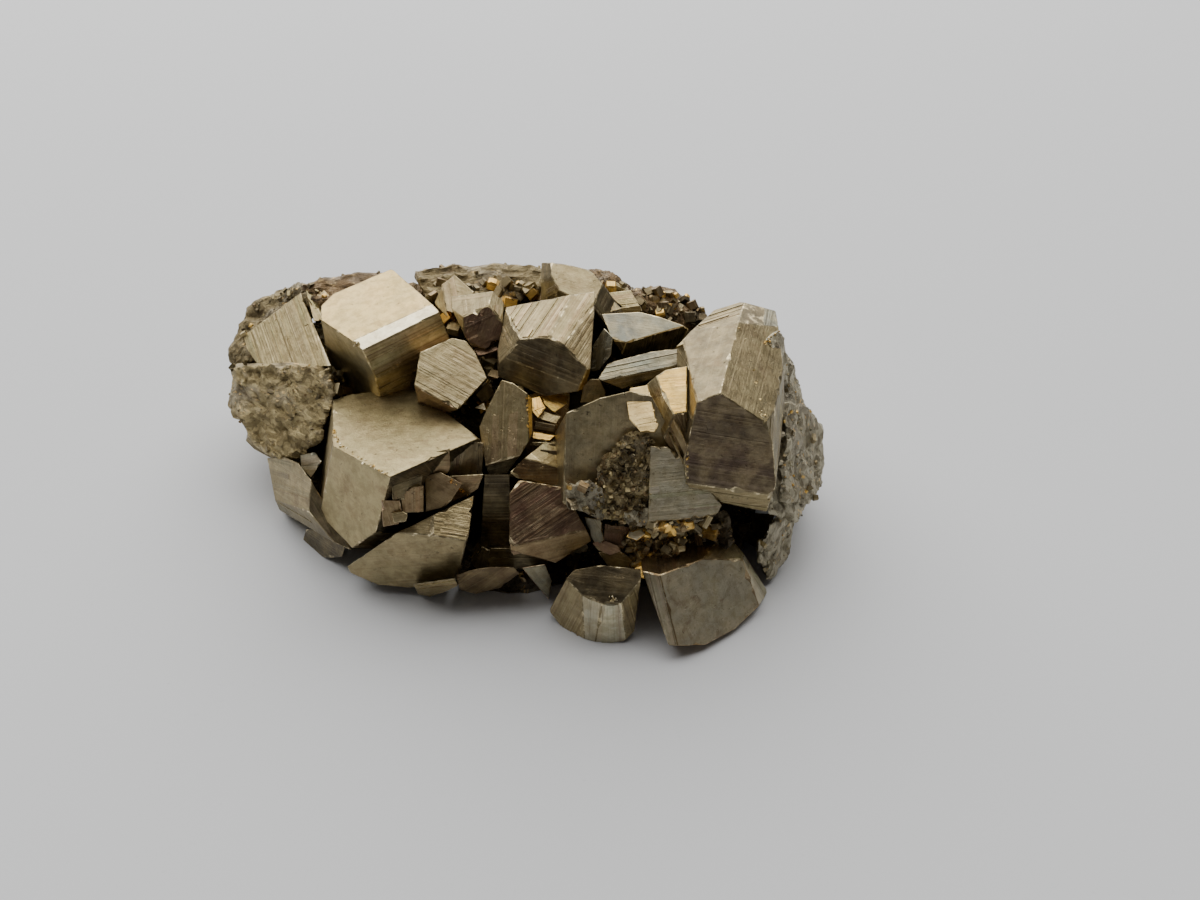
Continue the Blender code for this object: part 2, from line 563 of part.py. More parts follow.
def joined(parts, name):
    """All the parts as one closed solid."""
    base = parts[0]
    group = bpy.data.collections.new("joined_parts")
    bpy.context.scene.collection.children.link(group)
    for part in parts[1:]:
        bpy.context.scene.collection.objects.unlink(part)
        group.objects.link(part)
    union = base.modifiers.new("join", "BOOLEAN")
    union.operation = "UNION"
    union.operand_type = "COLLECTION"
    union.collection = group
    union.solver = "EXACT"
    graph = bpy.context.evaluated_depsgraph_get()
    mesh = bpy.data.meshes.new_from_object(base.evaluated_get(graph))
    for part in parts:
        bpy.data.objects.remove(part)
    bpy.data.collections.remove(group)
    whole = bpy.data.objects.new(name, mesh)
    bpy.context.scene.collection.objects.link(whole)
    return whole


def solid_only(form):
    """Keeps the largest closed piece and drops the hollows that the joined parts shut in."""
    left = set(form.faces)
    pieces = []
    while left:
        piece = {left.pop()}
        edge_of_piece = list(piece)
        while edge_of_piece:
            face = edge_of_piece.pop()
            for edge in face.edges:
                for other in edge.link_faces:
                    if other in left:
                        left.remove(other)
                        piece.add(other)
                        edge_of_piece.append(other)
        pieces.append(piece)
    pieces.sort(key=len, reverse=True)
    for piece in pieces[1:]:
        bmesh.ops.delete(form, geom=list(piece), context="FACES")


def cut_foot(whole):
    """Cuts the foot flat at the level of the floor."""
    form = bmesh.new()
    under = Matrix.Translation((0, 0, -BLOCK_SIZE))
    bmesh.ops.create_cube(form, size=2 * BLOCK_SIZE, matrix=under)
    block = to_object(form, "floor")
    cut = whole.modifiers.new("foot", "BOOLEAN")
    cut.operation = "DIFFERENCE"
    cut.object = block
    cut.solver = "EXACT"
    graph = bpy.context.evaluated_depsgraph_get()
    mesh = bpy.data.meshes.new_from_object(whole.evaluated_get(graph))
    whole.modifiers.remove(cut)
    whole.data = mesh
    bpy.data.objects.remove(block)


def finished(whole):
    """Cleans the mesh and moves it over the origin."""
    form = bmesh.new()
    form.from_mesh(whole.data)
    solid_only(form)
    bmesh.ops.remove_doubles(form, verts=form.verts[:], dist=MERGE)
    bmesh.ops.dissolve_limit(form, angle_limit=FLAT, verts=form.verts[:], edges=form.edges[:])
    bmesh.ops.triangulate(form, faces=form.faces[:])
    bmesh.ops.recalc_face_normals(form, faces=form.faces[:])
    low = [min(vert.co[i] for vert in form.verts) for i in range(3)]
    high = [max(vert.co[i] for vert in form.verts) for i in range(3)]
    shift = Vector((-(low[0] + high[0]) / 2, -(low[1] + high[1]) / 2, -low[2]))
    bmesh.ops.translate(form, verts=form.verts[:], vec=shift)
    form.to_mesh(whole.data)
    form.free()
    return shift


def pyrite():
    """The brassy metal of the specimen."""
    material = bpy.data.materials.new("pyrite")
    material.use_nodes = True
    shader = material.node_tree.nodes["Principled BSDF"]
    shader.inputs["Base Color"].default_value = (0.46, 0.40, 0.29, 1)
    shader.inputs["Metallic"].default_value = 1.0
    shader.inputs["Roughness"].default_value = 0.32
    return material


def clear_scene():
    """Removes whatever the scene holds."""
    for old in list(bpy.data.objects):
        bpy.data.objects.remove(old)


def main():
    clear_scene()
    noise.seed_set(NOISE_SEED)
    parts = rough_base() + large_crystals() + broken_steps() + small_facets() + unseen_sides()
    whole = joined(parts, "pyrite_cluster")
    cut_foot(whole)
    shift = finished(whole)
    whole.data.materials.append(pyrite())
    return shift


SHIFT = main()
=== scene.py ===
"""Dresses the pyrite specimen: striated crystals, broken ground between them, and the plain stage."""

import math
import random

import bpy
from bpy.props import FloatProperty, FloatVectorProperty, IntProperty, PointerProperty
from mathutils import Matrix, Vector, noise
from mathutils.bvhtree import BVHTree


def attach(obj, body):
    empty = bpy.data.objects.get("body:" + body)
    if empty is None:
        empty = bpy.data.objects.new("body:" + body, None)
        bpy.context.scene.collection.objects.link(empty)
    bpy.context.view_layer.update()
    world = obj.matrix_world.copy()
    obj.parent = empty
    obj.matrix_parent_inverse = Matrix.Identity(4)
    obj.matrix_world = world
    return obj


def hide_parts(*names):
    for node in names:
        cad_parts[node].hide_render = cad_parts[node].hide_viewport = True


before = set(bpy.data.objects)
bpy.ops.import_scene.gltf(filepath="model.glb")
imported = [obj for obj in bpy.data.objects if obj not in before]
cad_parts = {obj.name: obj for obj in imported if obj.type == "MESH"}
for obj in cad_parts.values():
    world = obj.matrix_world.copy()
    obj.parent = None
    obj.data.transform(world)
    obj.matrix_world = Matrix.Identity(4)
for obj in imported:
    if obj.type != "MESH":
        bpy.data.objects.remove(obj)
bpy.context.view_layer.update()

bl_info = {
    "name": "Pyrite specimen",
    "version": (1, 0, 0),
    "blender": (4, 5, 0),
    "location": "3D View > Sidebar > Pyrite",
    "description": "Builds a cluster of striated pyrite crystals on rough ground, and its stage",
    "category": "Add Mesh",
}

MM = 0.001

# The reference view, in the frame of the CAD model.
FRAME_WIDTH = 1200
FRAME_HEIGHT = 900
FOCAL_LENGTH = 1080.0
VIEW_ELEVATION = math.radians(38)
VIEW_DISTANCE = 200 * MM
VIEW_TARGET = Vector((14, 0, 22)) * MM
SHIFT = Vector((4.580, -10.397, 0)) * MM
RIGHT = Vector((1, 0, 0))
UP = Vector((0, math.sin(VIEW_ELEVATION), math.cos(VIEW_ELEVATION)))
TOWARDS = Vector((0, -math.cos(VIEW_ELEVATION), math.sin(VIEW_ELEVATION)))
EYE = VIEW_TARGET + VIEW_DISTANCE * TOWARDS

BLOCK_SIZE = 120 * MM
CRYSTAL_DEPTH = 16.0
HIDDEN = 0
HIDDEN_TUCK = 9
NOISE_SEED = 3
MERGE_DISTANCE = 0.02 * MM
FLAT_ANGLE = math.radians(0.3)
SAME_WAY = 0.9998
SAME_PLANE = 0.03 * MM
LONGEST_BEVEL_EDGE = 1.0 * MM
CHIPS = 1.6
BACK_CHIPS = 1.8

# Growth steps: the widths, heights and gaps to choose from, in millimetres.
STEP_WIDTHS = (0.25, 0.4, 0.6, 0.9, 1.4, 2.2)
STEP_HEIGHTS = (0.05, 0.08, 0.12, 0.18)
STEP_GAPS = (0.3, 0.7, 1.5, 2.6)
STEPPED_GROOVES = 0.35
STEPPED_AREA = 8 * MM * MM
PLAIN_FINISH = ("olive", 0.7, 0.5)
FLOOR_PLANE = (Vector((0, 0, 0)), Vector((0, 0, -1)))

HEART_PLANES = [
    ((0, 12, 15), (0.0, -0.50, 0.87)),
    ((0, 45, 15), (0.0, 1.0, 0.15)),
    ((-44, 38, 15), (-0.60, 0.80, 0.10)),
    ((42, 34, 15), (0.65, 0.76, 0.10)),
    ((-53, 15, 20), (-0.95, -0.10, 0.25)),
    ((-52, 15, 16), (-0.80, -0.25, -0.55)),
    ((50, 10, 20), (0.97, -0.10, 0.20)),
    ((50, 5, 20), (0.90, -0.30, -0.30)),
    ((-20, -10, 4), (-0.45, -0.80, -0.40)),
    ((20, 30, 34), (0.10, 0.20, 0.97)),
    ((0, 0, -3), (0.0, 0.0, -1.0)),
]


# Where things are in the view


def sight_line(pixel):
    """The direction from the eye through a pixel of the reference view."""
    across = (pixel[0] - FRAME_WIDTH / 2) / FOCAL_LENGTH
    above = (FRAME_HEIGHT / 2 - pixel[1]) / FOCAL_LENGTH
    return across * RIGHT + above * UP - TOWARDS


def seen_at(pixel, height):
    """The point that shows at a pixel and stands height millimetres nearer than the target."""
    return EYE + (VIEW_DISTANCE - height * MM) * sight_line(pixel)


def looking(azimuth, elevation):
    """A direction: azimuth 0 is towards the viewer's side, positive to the right."""
    a = math.radians(azimuth)
    e = math.radians(elevation)
    return Vector((math.sin(a) * math.cos(e), -math.cos(a) * math.cos(e), math.sin(e)))


def on_plane(pixel, point, normal):
    """Where the sight line of a pixel meets a plane."""
    line = sight_line(pixel)
    return EYE + line * ((point - EYE).dot(normal) / line.dot(normal))


def folded(face, first, second, centre, angle):
    """The plane that turns back by angle degrees from a face, at the edge seen between two pixels."""
    point, normal = face
    start = on_plane(first, point, normal)
    along = (on_plane(second, point, normal) - start).normalized()
    outward = along.cross(normal).normalized()
    across = Vector((second[1] - first[1], second[0] - first[0]))
    centre_side = across.dot(Vector((centre[0] - first[0], first[1] - centre[1])))
    if centre_side * across.dot(Vector((outward.dot(RIGHT), outward.dot(UP)))) > 0:
        outward = -outward
    if angle == HIDDEN:
        sight = (start - EYE).normalized()
        behind = (sight - along * sight.dot(along)).normalized()
        edge_on = along.cross(behind)
        if edge_on.dot(outward) < 0:
            edge_on = -edge_on
        turn = math.radians(HIDDEN_TUCK)
        return start, (edge_on * math.cos(turn) + behind * math.sin(turn)).normalized()
    turn = math.radians(angle)
    return start, (normal * math.cos(turn) + outward * math.sin(turn)).normalized()


# Modelling by hand


def deselect():
    """Leaves nothing selected."""
    if bpy.context.object and bpy.context.object.mode != "OBJECT":
        bpy.ops.object.mode_set(mode="OBJECT")
    bpy.ops.object.select_all(action="DESELECT")


def pick(*objects):
    """Selects these objects alone, and makes the first one active."""
    deselect()
    for chosen in objects:
        chosen.select_set(True)
    bpy.context.view_layer.objects.active = objects[0]


def cut_block(name, planes, centre):
    """A block, cut by all the planes, each a point and an outward normal."""
    deselect()
    bpy.ops.mesh.primitive_cube_add(size=BLOCK_SIZE, location=centre)
    bpy.ops.object.transform_apply(location=True, rotation=False, scale=False)
    block = bpy.context.object
    block.name = name
    bpy.ops.object.mode_set(mode="EDIT")
    for point, normal in [*planes, FLOOR_PLANE]:
        bpy.ops.mesh.select_all(action="SELECT")
        bpy.ops.mesh.bisect(plane_co=point, plane_no=normal, use_fill=True, clear_outer=True)
    bpy.ops.mesh.select_all(action="SELECT")
    bpy.ops.mesh.remove_doubles(threshold=MERGE_DISTANCE)
    bpy.ops.mesh.dissolve_limited(angle_limit=FLAT_ANGLE)
    bpy.ops.mesh.select_all(action="SELECT")
    bpy.ops.mesh.normals_make_consistent(inside=False)
    bpy.ops.object.mode_set(mode="OBJECT")
    return block


def crystal_planes(looks, height, outline, depth, cuts=()):
    """The planes of a crystal from its main face, as in the CAD model's own view."""
    normal = looking(*looks)
    pixels = [corner[:2] for corner in outline]
    middle = [sum(p[i] for p in pixels) / len(pixels) for i in (0, 1)]
    point = seen_at(middle, height)
    planes = [(point, normal)]
    for i, corner in enumerate(outline):
        following = pixels[(i + 1) % len(pixels)]
        planes.append(folded(planes[0], pixels[i], following, middle, corner[2]))
    for face, first, second, fold, *inside in cuts:
        planes.append(folded(planes[face], first, second, (inside or [middle])[0], fold))
    planes.append((point - normal * depth * MM, -normal))
    return planes


# Materials


class Reading:
    """A socket of a material, which can be used in sums."""

    def __init__(self, recipe, made, output=0):
        self.recipe = recipe
        self.made = made
        self.socket = made.outputs[output]

    def out(self, output):
        return Reading(self.recipe, self.made, output)

    def sum(self, operation, first, second):
        return self.recipe.node("ShaderNodeMath", {"operation": operation}, {0: first, 1: second})

    def __add__(self, other):
        return self.sum("ADD", self, other)

    __radd__ = __add__

    def __sub__(self, other):
        return self.sum("SUBTRACT", self, other)

    def __rsub__(self, other):
        return self.sum("SUBTRACT", other, self)

    def __mul__(self, other):
        return self.sum("MULTIPLY", self, other)

    __rmul__ = __mul__

    def __truediv__(self, other):
        return self.sum("DIVIDE", self, other)


class Recipe:
    """The nodes of one material."""

    def __init__(self, name):
        self.material = bpy.data.materials.new(name)
        self.material.use_nodes = True
        self.tree = self.material.node_tree
        self.shader = self.tree.nodes["Principled BSDF"]

    def node(self, kind, settings, sockets, output=0):
        made = self.tree.nodes.new(kind)
        for name, value in settings.items():
            setattr(made, name, value)
        for name, value in sockets.items():
            self.feed(made.inputs[name], value)
        return Reading(self, made, output)

    def feed(self, socket, value):
        if isinstance(value, Reading):
            self.tree.links.new(value.socket, socket)
        else:
            socket.default_value = value

    def ranged(self, value, low, high, first=0.0, second=1.0):
        """The value's way from low to high, as a smooth way from first to second."""
        return self.node("ShaderNodeMapRange", {"interpolation_type": "SMOOTHSTEP"},
                         {0: value, 1: low, 2: high, 3: first, 4: second})

    def mixed(self, share, first, second, way="MIX"):
        return self.node("ShaderNodeMix", {"data_type": "RGBA", "blend_type": way},
                         {0: share, 6: first, 7: second}, 2)

    def noise(self, place, scale, detail=2.0, roughness=0.5, distortion=0.0):
        return self.node("ShaderNodeTexNoise", {},
                         {"Vector": place, "Scale": scale, "Detail": detail,
                          "Roughness": roughness, "Distortion": distortion})

    def cells(self, place, scale):
        return self.node("ShaderNodeTexVoronoi", {}, {"Vector": place, "Scale": scale})

    def vector(self, operation, first, second):
        return self.node("ShaderNodeVectorMath", {"operation": operation}, {0: first, 1: second})

    def scaled(self, vector, scale):
        return self.node("ShaderNodeVectorMath", {"operation": "SCALE"}, {0: vector, "Scale": scale})

    def attribute(self, name, output="Color"):
        return self.node("ShaderNodeAttribute", {"attribute_name": name}, {}, output)

    def in_mm(self):
        """The place on the piece, in millimetres."""
        return self.scaled(self.node("ShaderNodeTexCoord", {}, {}, "Object"), 1 / MM)

    def bump(self, height):
        """The normal that a height in millimetres gives."""
        return self.node("ShaderNodeBump", {}, {"Height": height, "Distance": MM, "Strength": 1.0})

    def finish(self, **sockets):
        for name, value in sockets.items():
            self.feed(self.shader.inputs[name.replace("_", " ")], value)
        return self.material


def colour(rgb):
    return (*rgb, 1.0)


def crystal_material(look):
    """Brassy crystal faces: fine grooves along the faces' own direction, with painted shade in them and
    painted highlights on their ridges, mottling, pits darkened with painted shade, and edges lightened by
    wear and painted highlight.
    """
    r = Recipe("striated_pyrite")
    mm = r.in_mm()
    uv = r.node("ShaderNodeUVMap", {"uv_map": "UVMap"}, {})
    parts = r.node("ShaderNodeSeparateXYZ", {}, {0: uv})
    along, across = parts, parts.out("Y")
    tint = r.attribute("tint")
    marks = r.node("ShaderNodeSeparateColor", {}, {0: r.attribute("finish")})
    grooves, mottling, edge_wear_and_highlight = marks, marks.out("Green"), marks.out("Blue")

    def lines(length, width, detail, start=0.0):
        """Noise drawn out along the grooves: the length and width of its streaks, in millimetres."""
        place = r.node("ShaderNodeCombineXYZ", {}, {0: along / length, 1: across / width, 2: start})
        return r.noise(place, 1.0, detail, 0.6)

    bands = lines(400.0, 2.6, 2.0)
    steps = r.node("ShaderNodeMath", {"operation": "SNAP"}, {0: lines(220.0, 1.5, 2.0, 3.0), 1: 0.06})
    fine = lines(170.0, 0.36, 2.0, 5.0)
    hair = lines(70.0, 0.15, 2.0, 8.0)
    broken = r.ranged(r.noise(mm, 0.30, 3.0), 0.36, 0.60)
    cloud = r.noise(mm, 0.24, 5.0, 0.62)
    patches = r.noise(mm, 0.55, 4.0, 0.65, 0.3)
    specks = r.noise(mm, 2.4, 4.0, 0.7)
    pits = r.ranged(r.noise(mm, 1.0, 3.0, 0.75, 0.4), 0.64, 0.73)
    rust = r.ranged(r.noise(mm, 0.16, 6.0, 0.7, 0.8), 0.54, 0.68)

    height = grooves * (steps * 0.50 + fine * (0.04 + 0.08 * broken) + hair * 0.03)
    height = height + mottling * (specks * 0.07 - pits * 0.16) + cloud * 0.16 + patches * 0.05
    normal = r.bump(height)

    base = r.mixed(r.ranged(cloud, 0.36, 0.66) * 0.30, tint, (0.64, 0.52, 0.29, 1))
    base = r.mixed(r.ranged(patches, 0.62, 0.36) * 0.42, base, (0.45, 0.40, 0.33, 1), "MULTIPLY")
    drift = r.ranged(r.noise(mm, 0.11, 4.0, 0.6, 0.5), 0.38, 0.62)
    base = r.mixed(drift * 0.35, base, (0.80, 0.86, 0.82, 1), "MULTIPLY")
    # Darker bands of tone along the grooves are the faces' own colour; then comes painted shade in the
    # valleys of the fine grooves and hairlines.
    for band_tone_and_groove_shade, dark in (
            (r.ranged(bands, 0.40, 0.62) * 0.34, (0.46, 0.40, 0.33, 1)),
            (r.ranged(fine, 0.42, 0.32) * 0.50, (0.26, 0.21, 0.16, 1)),
            (r.ranged(hair, 0.40, 0.30) * 0.40, (0.30, 0.24, 0.18, 1))):
        base = r.mixed(grooves * band_tone_and_groove_shade, base, dark, "MULTIPLY")
    # Painted highlight along the ridges of the fine grooves and hairlines.
    painted_groove_highlight = grooves * broken * r.ranged(fine * 0.6 + hair * 0.4, 0.53, 0.62)
    base = r.mixed(painted_groove_highlight * 0.42, base, (0.84, 0.71, 0.46, 1))
    base = r.mixed(mottling * rust * 0.55, base, colour(look.tarnish))
    base = r.mixed(mottling * r.ranged(specks, 0.56, 0.72) * 0.5, base, (0.16, 0.13, 0.09, 1))
    # Painted shade: the pits, which the bump sinks, are filled with near black.
    base = r.mixed(mottling * pits * 0.85, base, (0.05, 0.04, 0.03, 1))
    # Bevels, and in part the sides of growth steps, are lightened: partly wear, partly painted highlight
    # along the edges.
    base = r.mixed(edge_wear_and_highlight * r.ranged(patches, 0.50, 0.66) * 0.8, base, (0.92, 0.78, 0.48, 1))
    rough = 0.31 + 0.17 * cloud + 0.12 * mottling * specks + 0.2 * mottling * pits - 0.04 * edge_wear_and_highlight
    return r.finish(Base_Color=base, Roughness=rough, Metallic=1.0, Normal=normal)


def ground_material(look):
    """Rough broken ground: grains that each lean their own way, with black specks that paint the shade of
    hollows, and painted gold glints.
    """
    r = Recipe("broken_pyrite")
    mm = r.attribute("drawn", "Vector")
    tint = r.attribute("tint")

    def leaning(scale, amount):
        """The height of small planes, each leaning its own way, and their cells."""
        cell = r.cells(mm, scale)
        way = r.vector("SUBTRACT", cell.out("Color"), (0.5, 0.5, 0.5))
        from_middle = r.vector("SUBTRACT", r.scaled(mm, scale), cell.out("Position"))
        return r.vector("DOT_PRODUCT", from_middle, way).out("Value") * amount, cell

    big, _ = leaning(0.45, 1.1)
    little, little_cell = leaning(1.3, 0.42)
    tiny, tiny_cell = leaning(3.4, 0.14)
    cloud = r.noise(mm, 0.16, 5.0, 0.6)
    grain = r.noise(mm, 1.1, 5.0, 0.72, 0.3)
    height = big * 0.30 + little * 0.8 + tiny * 0.9 + grain * 0.8
    normal = r.bump(height)
    shade = r.node("ShaderNodeSeparateColor", {}, {0: little_cell.out("Color")})
    small = r.node("ShaderNodeSeparateColor", {}, {0: tiny_cell.out("Color")})
    base = r.mixed(r.ranged(shade, 0.2, 0.9) * 0.6, tint, (0.34, 0.31, 0.27, 1), "MULTIPLY")
    base = r.mixed(r.ranged(cloud, 0.48, 0.66) * 0.5, base, colour(look.pale))
    glints = r.ranged(small, 0.93, 0.97) * r.ranged(cloud, 0.44, 0.60)
    base = r.mixed(glints * 0.9, base, colour(look.gold))
    # Painted shade: black specks where the grain is strongest, standing for dark hollows.
    base = r.mixed(r.ranged(grain, 0.54, 0.70) * 0.75, base, (0.05, 0.04, 0.03, 1))
    rust = r.ranged(r.noise(mm, 0.21, 6.0, 0.7, 0.8), 0.55, 0.72)
    base = r.mixed(rust * 0.4, base, colour(look.tarnish))
    rough = 0.26 + 0.3 * grain + 0.1 * shade
    return r.finish(Base_Color=base, Roughness=rough, Metallic=1.0, Normal=normal)


# Crystals

# Tints of the faces, grains and ground. Besides the pyrite's own brass and tarnish colours, the darkest tints
# stand for painted shade and the whitest and gold ones for painted highlights and glints.
TINTS = {
    "cream": (0.66, 0.545, 0.31),
    "tan": (0.47, 0.385, 0.205),
    "grey": (0.335, 0.325, 0.25),
    "olive": (0.35, 0.285, 0.16),
    "moss": (0.245, 0.205, 0.125),
    "brown": (0.27, 0.19, 0.105),
    "purple": (0.30, 0.19, 0.13),
    "gold": (0.96, 0.62, 0.17),
    "dark": (0.145, 0.118, 0.074),
    "pale": (0.55, 0.505, 0.37),
    "white": (0.95, 0.86, 0.62),
    "butter": (0.70, 0.52, 0.235),
    "slate": (0.215, 0.215, 0.18),
    "umber": (0.13, 0.098, 0.07),
    "ash": (0.50, 0.50, 0.45),
    "orange": (0.95, 0.45, 0.10),
}


def face_of(polygon, planes):
    """Which of the crystal's planes a face lies in, or None for a bevel."""
    for i, (point, normal) in enumerate(planes):
        if polygon.normal.dot(normal) > SAME_WAY and abs((polygon.center - point).dot(normal)) < SAME_PLANE:
            return i
    return None


def longest_edge(mesh, polygon):
    """The direction of a face's longest edge."""
    corners = [mesh.vertices[i].co for i in polygon.vertices]
    edges = [corners[i] - corners[i - 1] for i in range(len(corners))]
    return max(edges, key=lambda edge: edge.length).normalized()


def wear_edges(block, planes, width, chips, seed):
    """Bevels the edges, then lets the bevels wander and chip, each in the plane of its own face."""
    pick(block)
    bpy.ops.object.mode_set(mode="EDIT")
    bpy.ops.mesh.select_all(action="SELECT")
    bpy.ops.mesh.bevel(offset=width, segments=1, affect="EDGES", clamp_overlap=True)
    bpy.ops.object.mode_set(mode="OBJECT")
    mesh = block.data
    for _ in range(5):
        long_edges = []
        for edge in mesh.edges:
            a, b = (mesh.vertices[i].co for i in edge.vertices)
            if (a - b).length > LONGEST_BEVEL_EDGE:
                long_edges.append(edge.index)
        if not long_edges:
            break
        bpy.ops.object.mode_set(mode="EDIT")
        bpy.ops.mesh.select_mode(type="EDGE")
        bpy.ops.mesh.select_all(action="DESELECT")
        bpy.ops.object.mode_set(mode="OBJECT")
        for i in long_edges:
            mesh.edges[i].select = True
        bpy.ops.object.mode_set(mode="EDIT")
        bpy.ops.mesh.subdivide(number_cuts=1, quadcorner="INNERVERT")
        bpy.ops.object.mode_set(mode="OBJECT")
    homes = {}
    for polygon in mesh.polygons:
        face = face_of(polygon, planes)
        if face is not None:
            for i in polygon.vertices:
                homes.setdefault(i, []).append((face, polygon.center.copy()))
    for i, found in homes.items():
        if len({face for face, _ in found}) > 1:
            continue
        face, centre = found[0]
        vert = mesh.vertices[i]
        inward = centre - vert.co
        if inward.length < 1e-6:
            continue
        normal = planes[face][1]
        inward -= normal * inward.dot(normal)
        reach = inward.length
        inward.normalize()
        sample = vert.co / MM
        chip = max(0.0, noise.noise(sample / 1.9 + Vector((seed, 0, 0))) - 0.22)
        waver = noise.noise(sample / 0.9 + Vector((0, seed, 0)))
        amount = (chips * chip + 0.05 * waver) * MM
        vert.co += inward * max(-0.3 * width, min(amount, 0.3 * reach))


def add_marks(mesh):
    """Gives a mesh its UV map and the attributes that the crystals' material reads."""
    mesh.uv_layers.new(name="UVMap")
    mesh.attributes.new("tint", "FLOAT_COLOR", "CORNER")
    mesh.attributes.new("finish", "FLOAT_COLOR", "CORNER")


def write_marks(mesh, polygon, ways, start, rgb, marks):
    """Writes a face's place along and across its grooves, its tint and its finish."""
    uv, tint, finish = mesh.uv_layers["UVMap"], mesh.attributes["tint"], mesh.attributes["finish"]
    for i in polygon.loop_indices:
        place = mesh.vertices[mesh.loops[i].vertex_index].co / MM
        uv.data[i].uv = (place.dot(ways[0]) + start[0], place.dot(ways[1]) + start[1])
        tint.data[i].color = (*rgb, 1.0)
        finish.data[i].color = (*marks, 1.0)


def mark_faces(block, planes, faces, draw):
    """Writes each face's tint, its finish and the way its grooves run."""
    mesh = block.data
    add_marks(mesh)
    ways = {}
    for polygon in sorted(mesh.polygons, key=lambda face: -face.area):
        face = face_of(polygon, planes)
        if face is not None and face not in ways:
            name, grooves, mottling, *run = faces.get(face, faces.get("other", PLAIN_FINISH))
            normal = planes[face][1]
            way = groove_way(mesh, planes, face, run)
            tone = draw.uniform(0.86, 1.12)
            start = (draw.uniform(0, 90), draw.uniform(0, 90))
            rgb = [x * tone for x in TINTS[name]]
            ways[face] = (way, normal.cross(way), start, rgb, grooves, mottling)
    plain = next(iter(ways.values()))
    for polygon in mesh.polygons:
        face = face_of(polygon, planes)
        edge_wear_and_highlight = 0.0 if face is not None else 1.0
        way, other, start, rgb, grooves, mottling = ways.get(face, plain)
        write_marks(mesh, polygon, (way, other), start, rgb, (grooves * (1 - edge_wear_and_highlight), mottling, edge_wear_and_highlight))


def groove_way(mesh, planes, face, run):
    """The way the grooves run on a face: between two pixels, or along its longest edge."""
    point, normal = planes[face][0] - SHIFT, planes[face][1]
    if run:
        return (on_plane(run[1], point, normal) - on_plane(run[0], point, normal)).normalized()
    found = [polygon for polygon in mesh.polygons if face_of(polygon, planes) == face]
    return longest_edge(mesh, max(found, key=lambda polygon: polygon.area))


def beside(planes, face, corners):
    """The planes that bound a face."""
    found = []
    for i, (point, normal) in enumerate(planes):
        if i != face and min(abs((corner - point).dot(normal)) for corner in corners) < 0.05 * MM:
            found.append((point, normal))
    return found


def growth_steps(block, planes, faces, look, draw):
    """Thin steps that run along the grooves of the striated faces, as the crystal grew."""
    mesh = block.data
    shown = {}
    for polygon in mesh.polygons:
        face = face_of(polygon, planes)
        if face is not None and face not in faces["plain"] and polygon.area > STEPPED_AREA:
            shown[face] = [mesh.vertices[i].co.copy() for i in polygon.vertices]
    made = []
    for face, corners in shown.items():
        name, grooves, mottling, *run = faces.get(face, faces.get("other", PLAIN_FINISH))
        if grooves < STEPPED_GROOVES:
            continue
        point, normal = planes[face]
        bounds = beside(planes, face, corners)
        way = groove_way(mesh, planes, face, run)
        across = normal.cross(way)
        low = min((corner - point).dot(across) for corner in corners)
        high = max((corner - point).dot(across) for corner in corners)
        start = low + draw.uniform(0.2, 1.6) * MM
        while start < high - 0.4 * MM:
            width = draw.choice(STEP_WIDTHS) * draw.uniform(0.8, 1.3) * MM
            lift = draw.choice(STEP_HEIGHTS) * draw.uniform(0.7, 1.2) * grooves * MM
            margin = draw.uniform(0.10, 0.22) * MM
            cut = [(p - n * margin, n) for p, n in bounds]
            cut.append((point + normal * lift, normal))
            cut.append((point - normal * 1.2 * MM, -normal))
            skew = draw.uniform(-0.004, 0.004)
            cut.append((point + across * start, (-across + way * skew).normalized()))
            cut.append((point + across * (start + width), (across + way * skew).normalized()))
            if draw.random() < 0.45:
                stop = draw.choice(corners)
                end = way * draw.choice((-1, 1))
                cut.append((stop.lerp(sum(corners, Vector()) / len(corners), draw.uniform(0.2, 0.8)),
                            (end + across * draw.uniform(-0.6, 0.6)).normalized()))
            step = cut_block("step", cut, point)
            if len(step.data.polygons) > 4:
                tone = draw.uniform(0.84, 1.18)
                rgb = [x * tone * draw.uniform(0.95, 1.05) for x in TINTS[name]]
                mark_step(step, normal, way, across, rgb, (grooves, mottling), draw)
                made.append(step)
            else:
                bpy.data.objects.remove(step)
            gap = draw.choice(STEP_GAPS) * draw.uniform(0.7, 1.3) * MM
            start += width + gap / (0.4 + grooves)
    return made


def mark_step(step, normal, way, across, rgb, look_of, draw):
    """Writes a growth step's tint and finish."""
    mesh = step.data
    add_marks(mesh)
    start = (draw.uniform(0, 90), draw.uniform(0, 90))
    for polygon in mesh.polygons:
        # Step sides get part of the edge lightening: wear and painted highlight.
        edge_wear_and_highlight = 0.0 if polygon.normal.dot(normal) > 0.99 else 0.6
        write_marks(mesh, polygon, (way, across), start, rgb, (*look_of, edge_wear_and_highlight))


def crystal(name, looks, height, outline, depth, cuts, faces, look, seed):
    """A crystal of the tables, with its growth steps: a list of blocks."""
    planes = crystal_planes(looks, height, outline, depth, cuts)
    middle = planes[0][0] - planes[0][1] * depth * MM / 2
    moved = [(point + SHIFT, normal) for point, normal in planes]
    block = cut_block(name, moved, middle + SHIFT)
    steps = growth_steps(block, moved, faces, look, random.Random(seed + 1000))
    wear_edges(block, moved, look.edge_width, CHIPS, seed)
    mark_faces(block, moved, faces, random.Random(seed))
    return [block, *steps]


# What stands where: the tables of the CAD model in the same view, with a few faces turned to the light


def block(name, looks, height, outline, depth=CRYSTAL_DEPTH, cuts=()):
    return {"name": name, "looks": looks, "height": height, "outline": outline, "depth": depth, "cuts": cuts}


def facet(name, looks, height, corners, depth=13.0):
    return block(name, looks, height, [(x, y, HIDDEN) for x, y in corners], depth)


def rubble(name, looks, height, corners, depth=12.0, cell=4.8, roughness=1.0, grain=4.5, seed=1):
    row = block(name, looks, height, [(x, y, HIDDEN) for x, y in corners], depth)
    row.update(roughness=roughness, grain=grain, seed=seed)
    return row


def free_block(name, centre, size, looks, roll=0.0):
    return {"name": name, "centre": centre, "size": size, "looks": looks, "roll": roll}


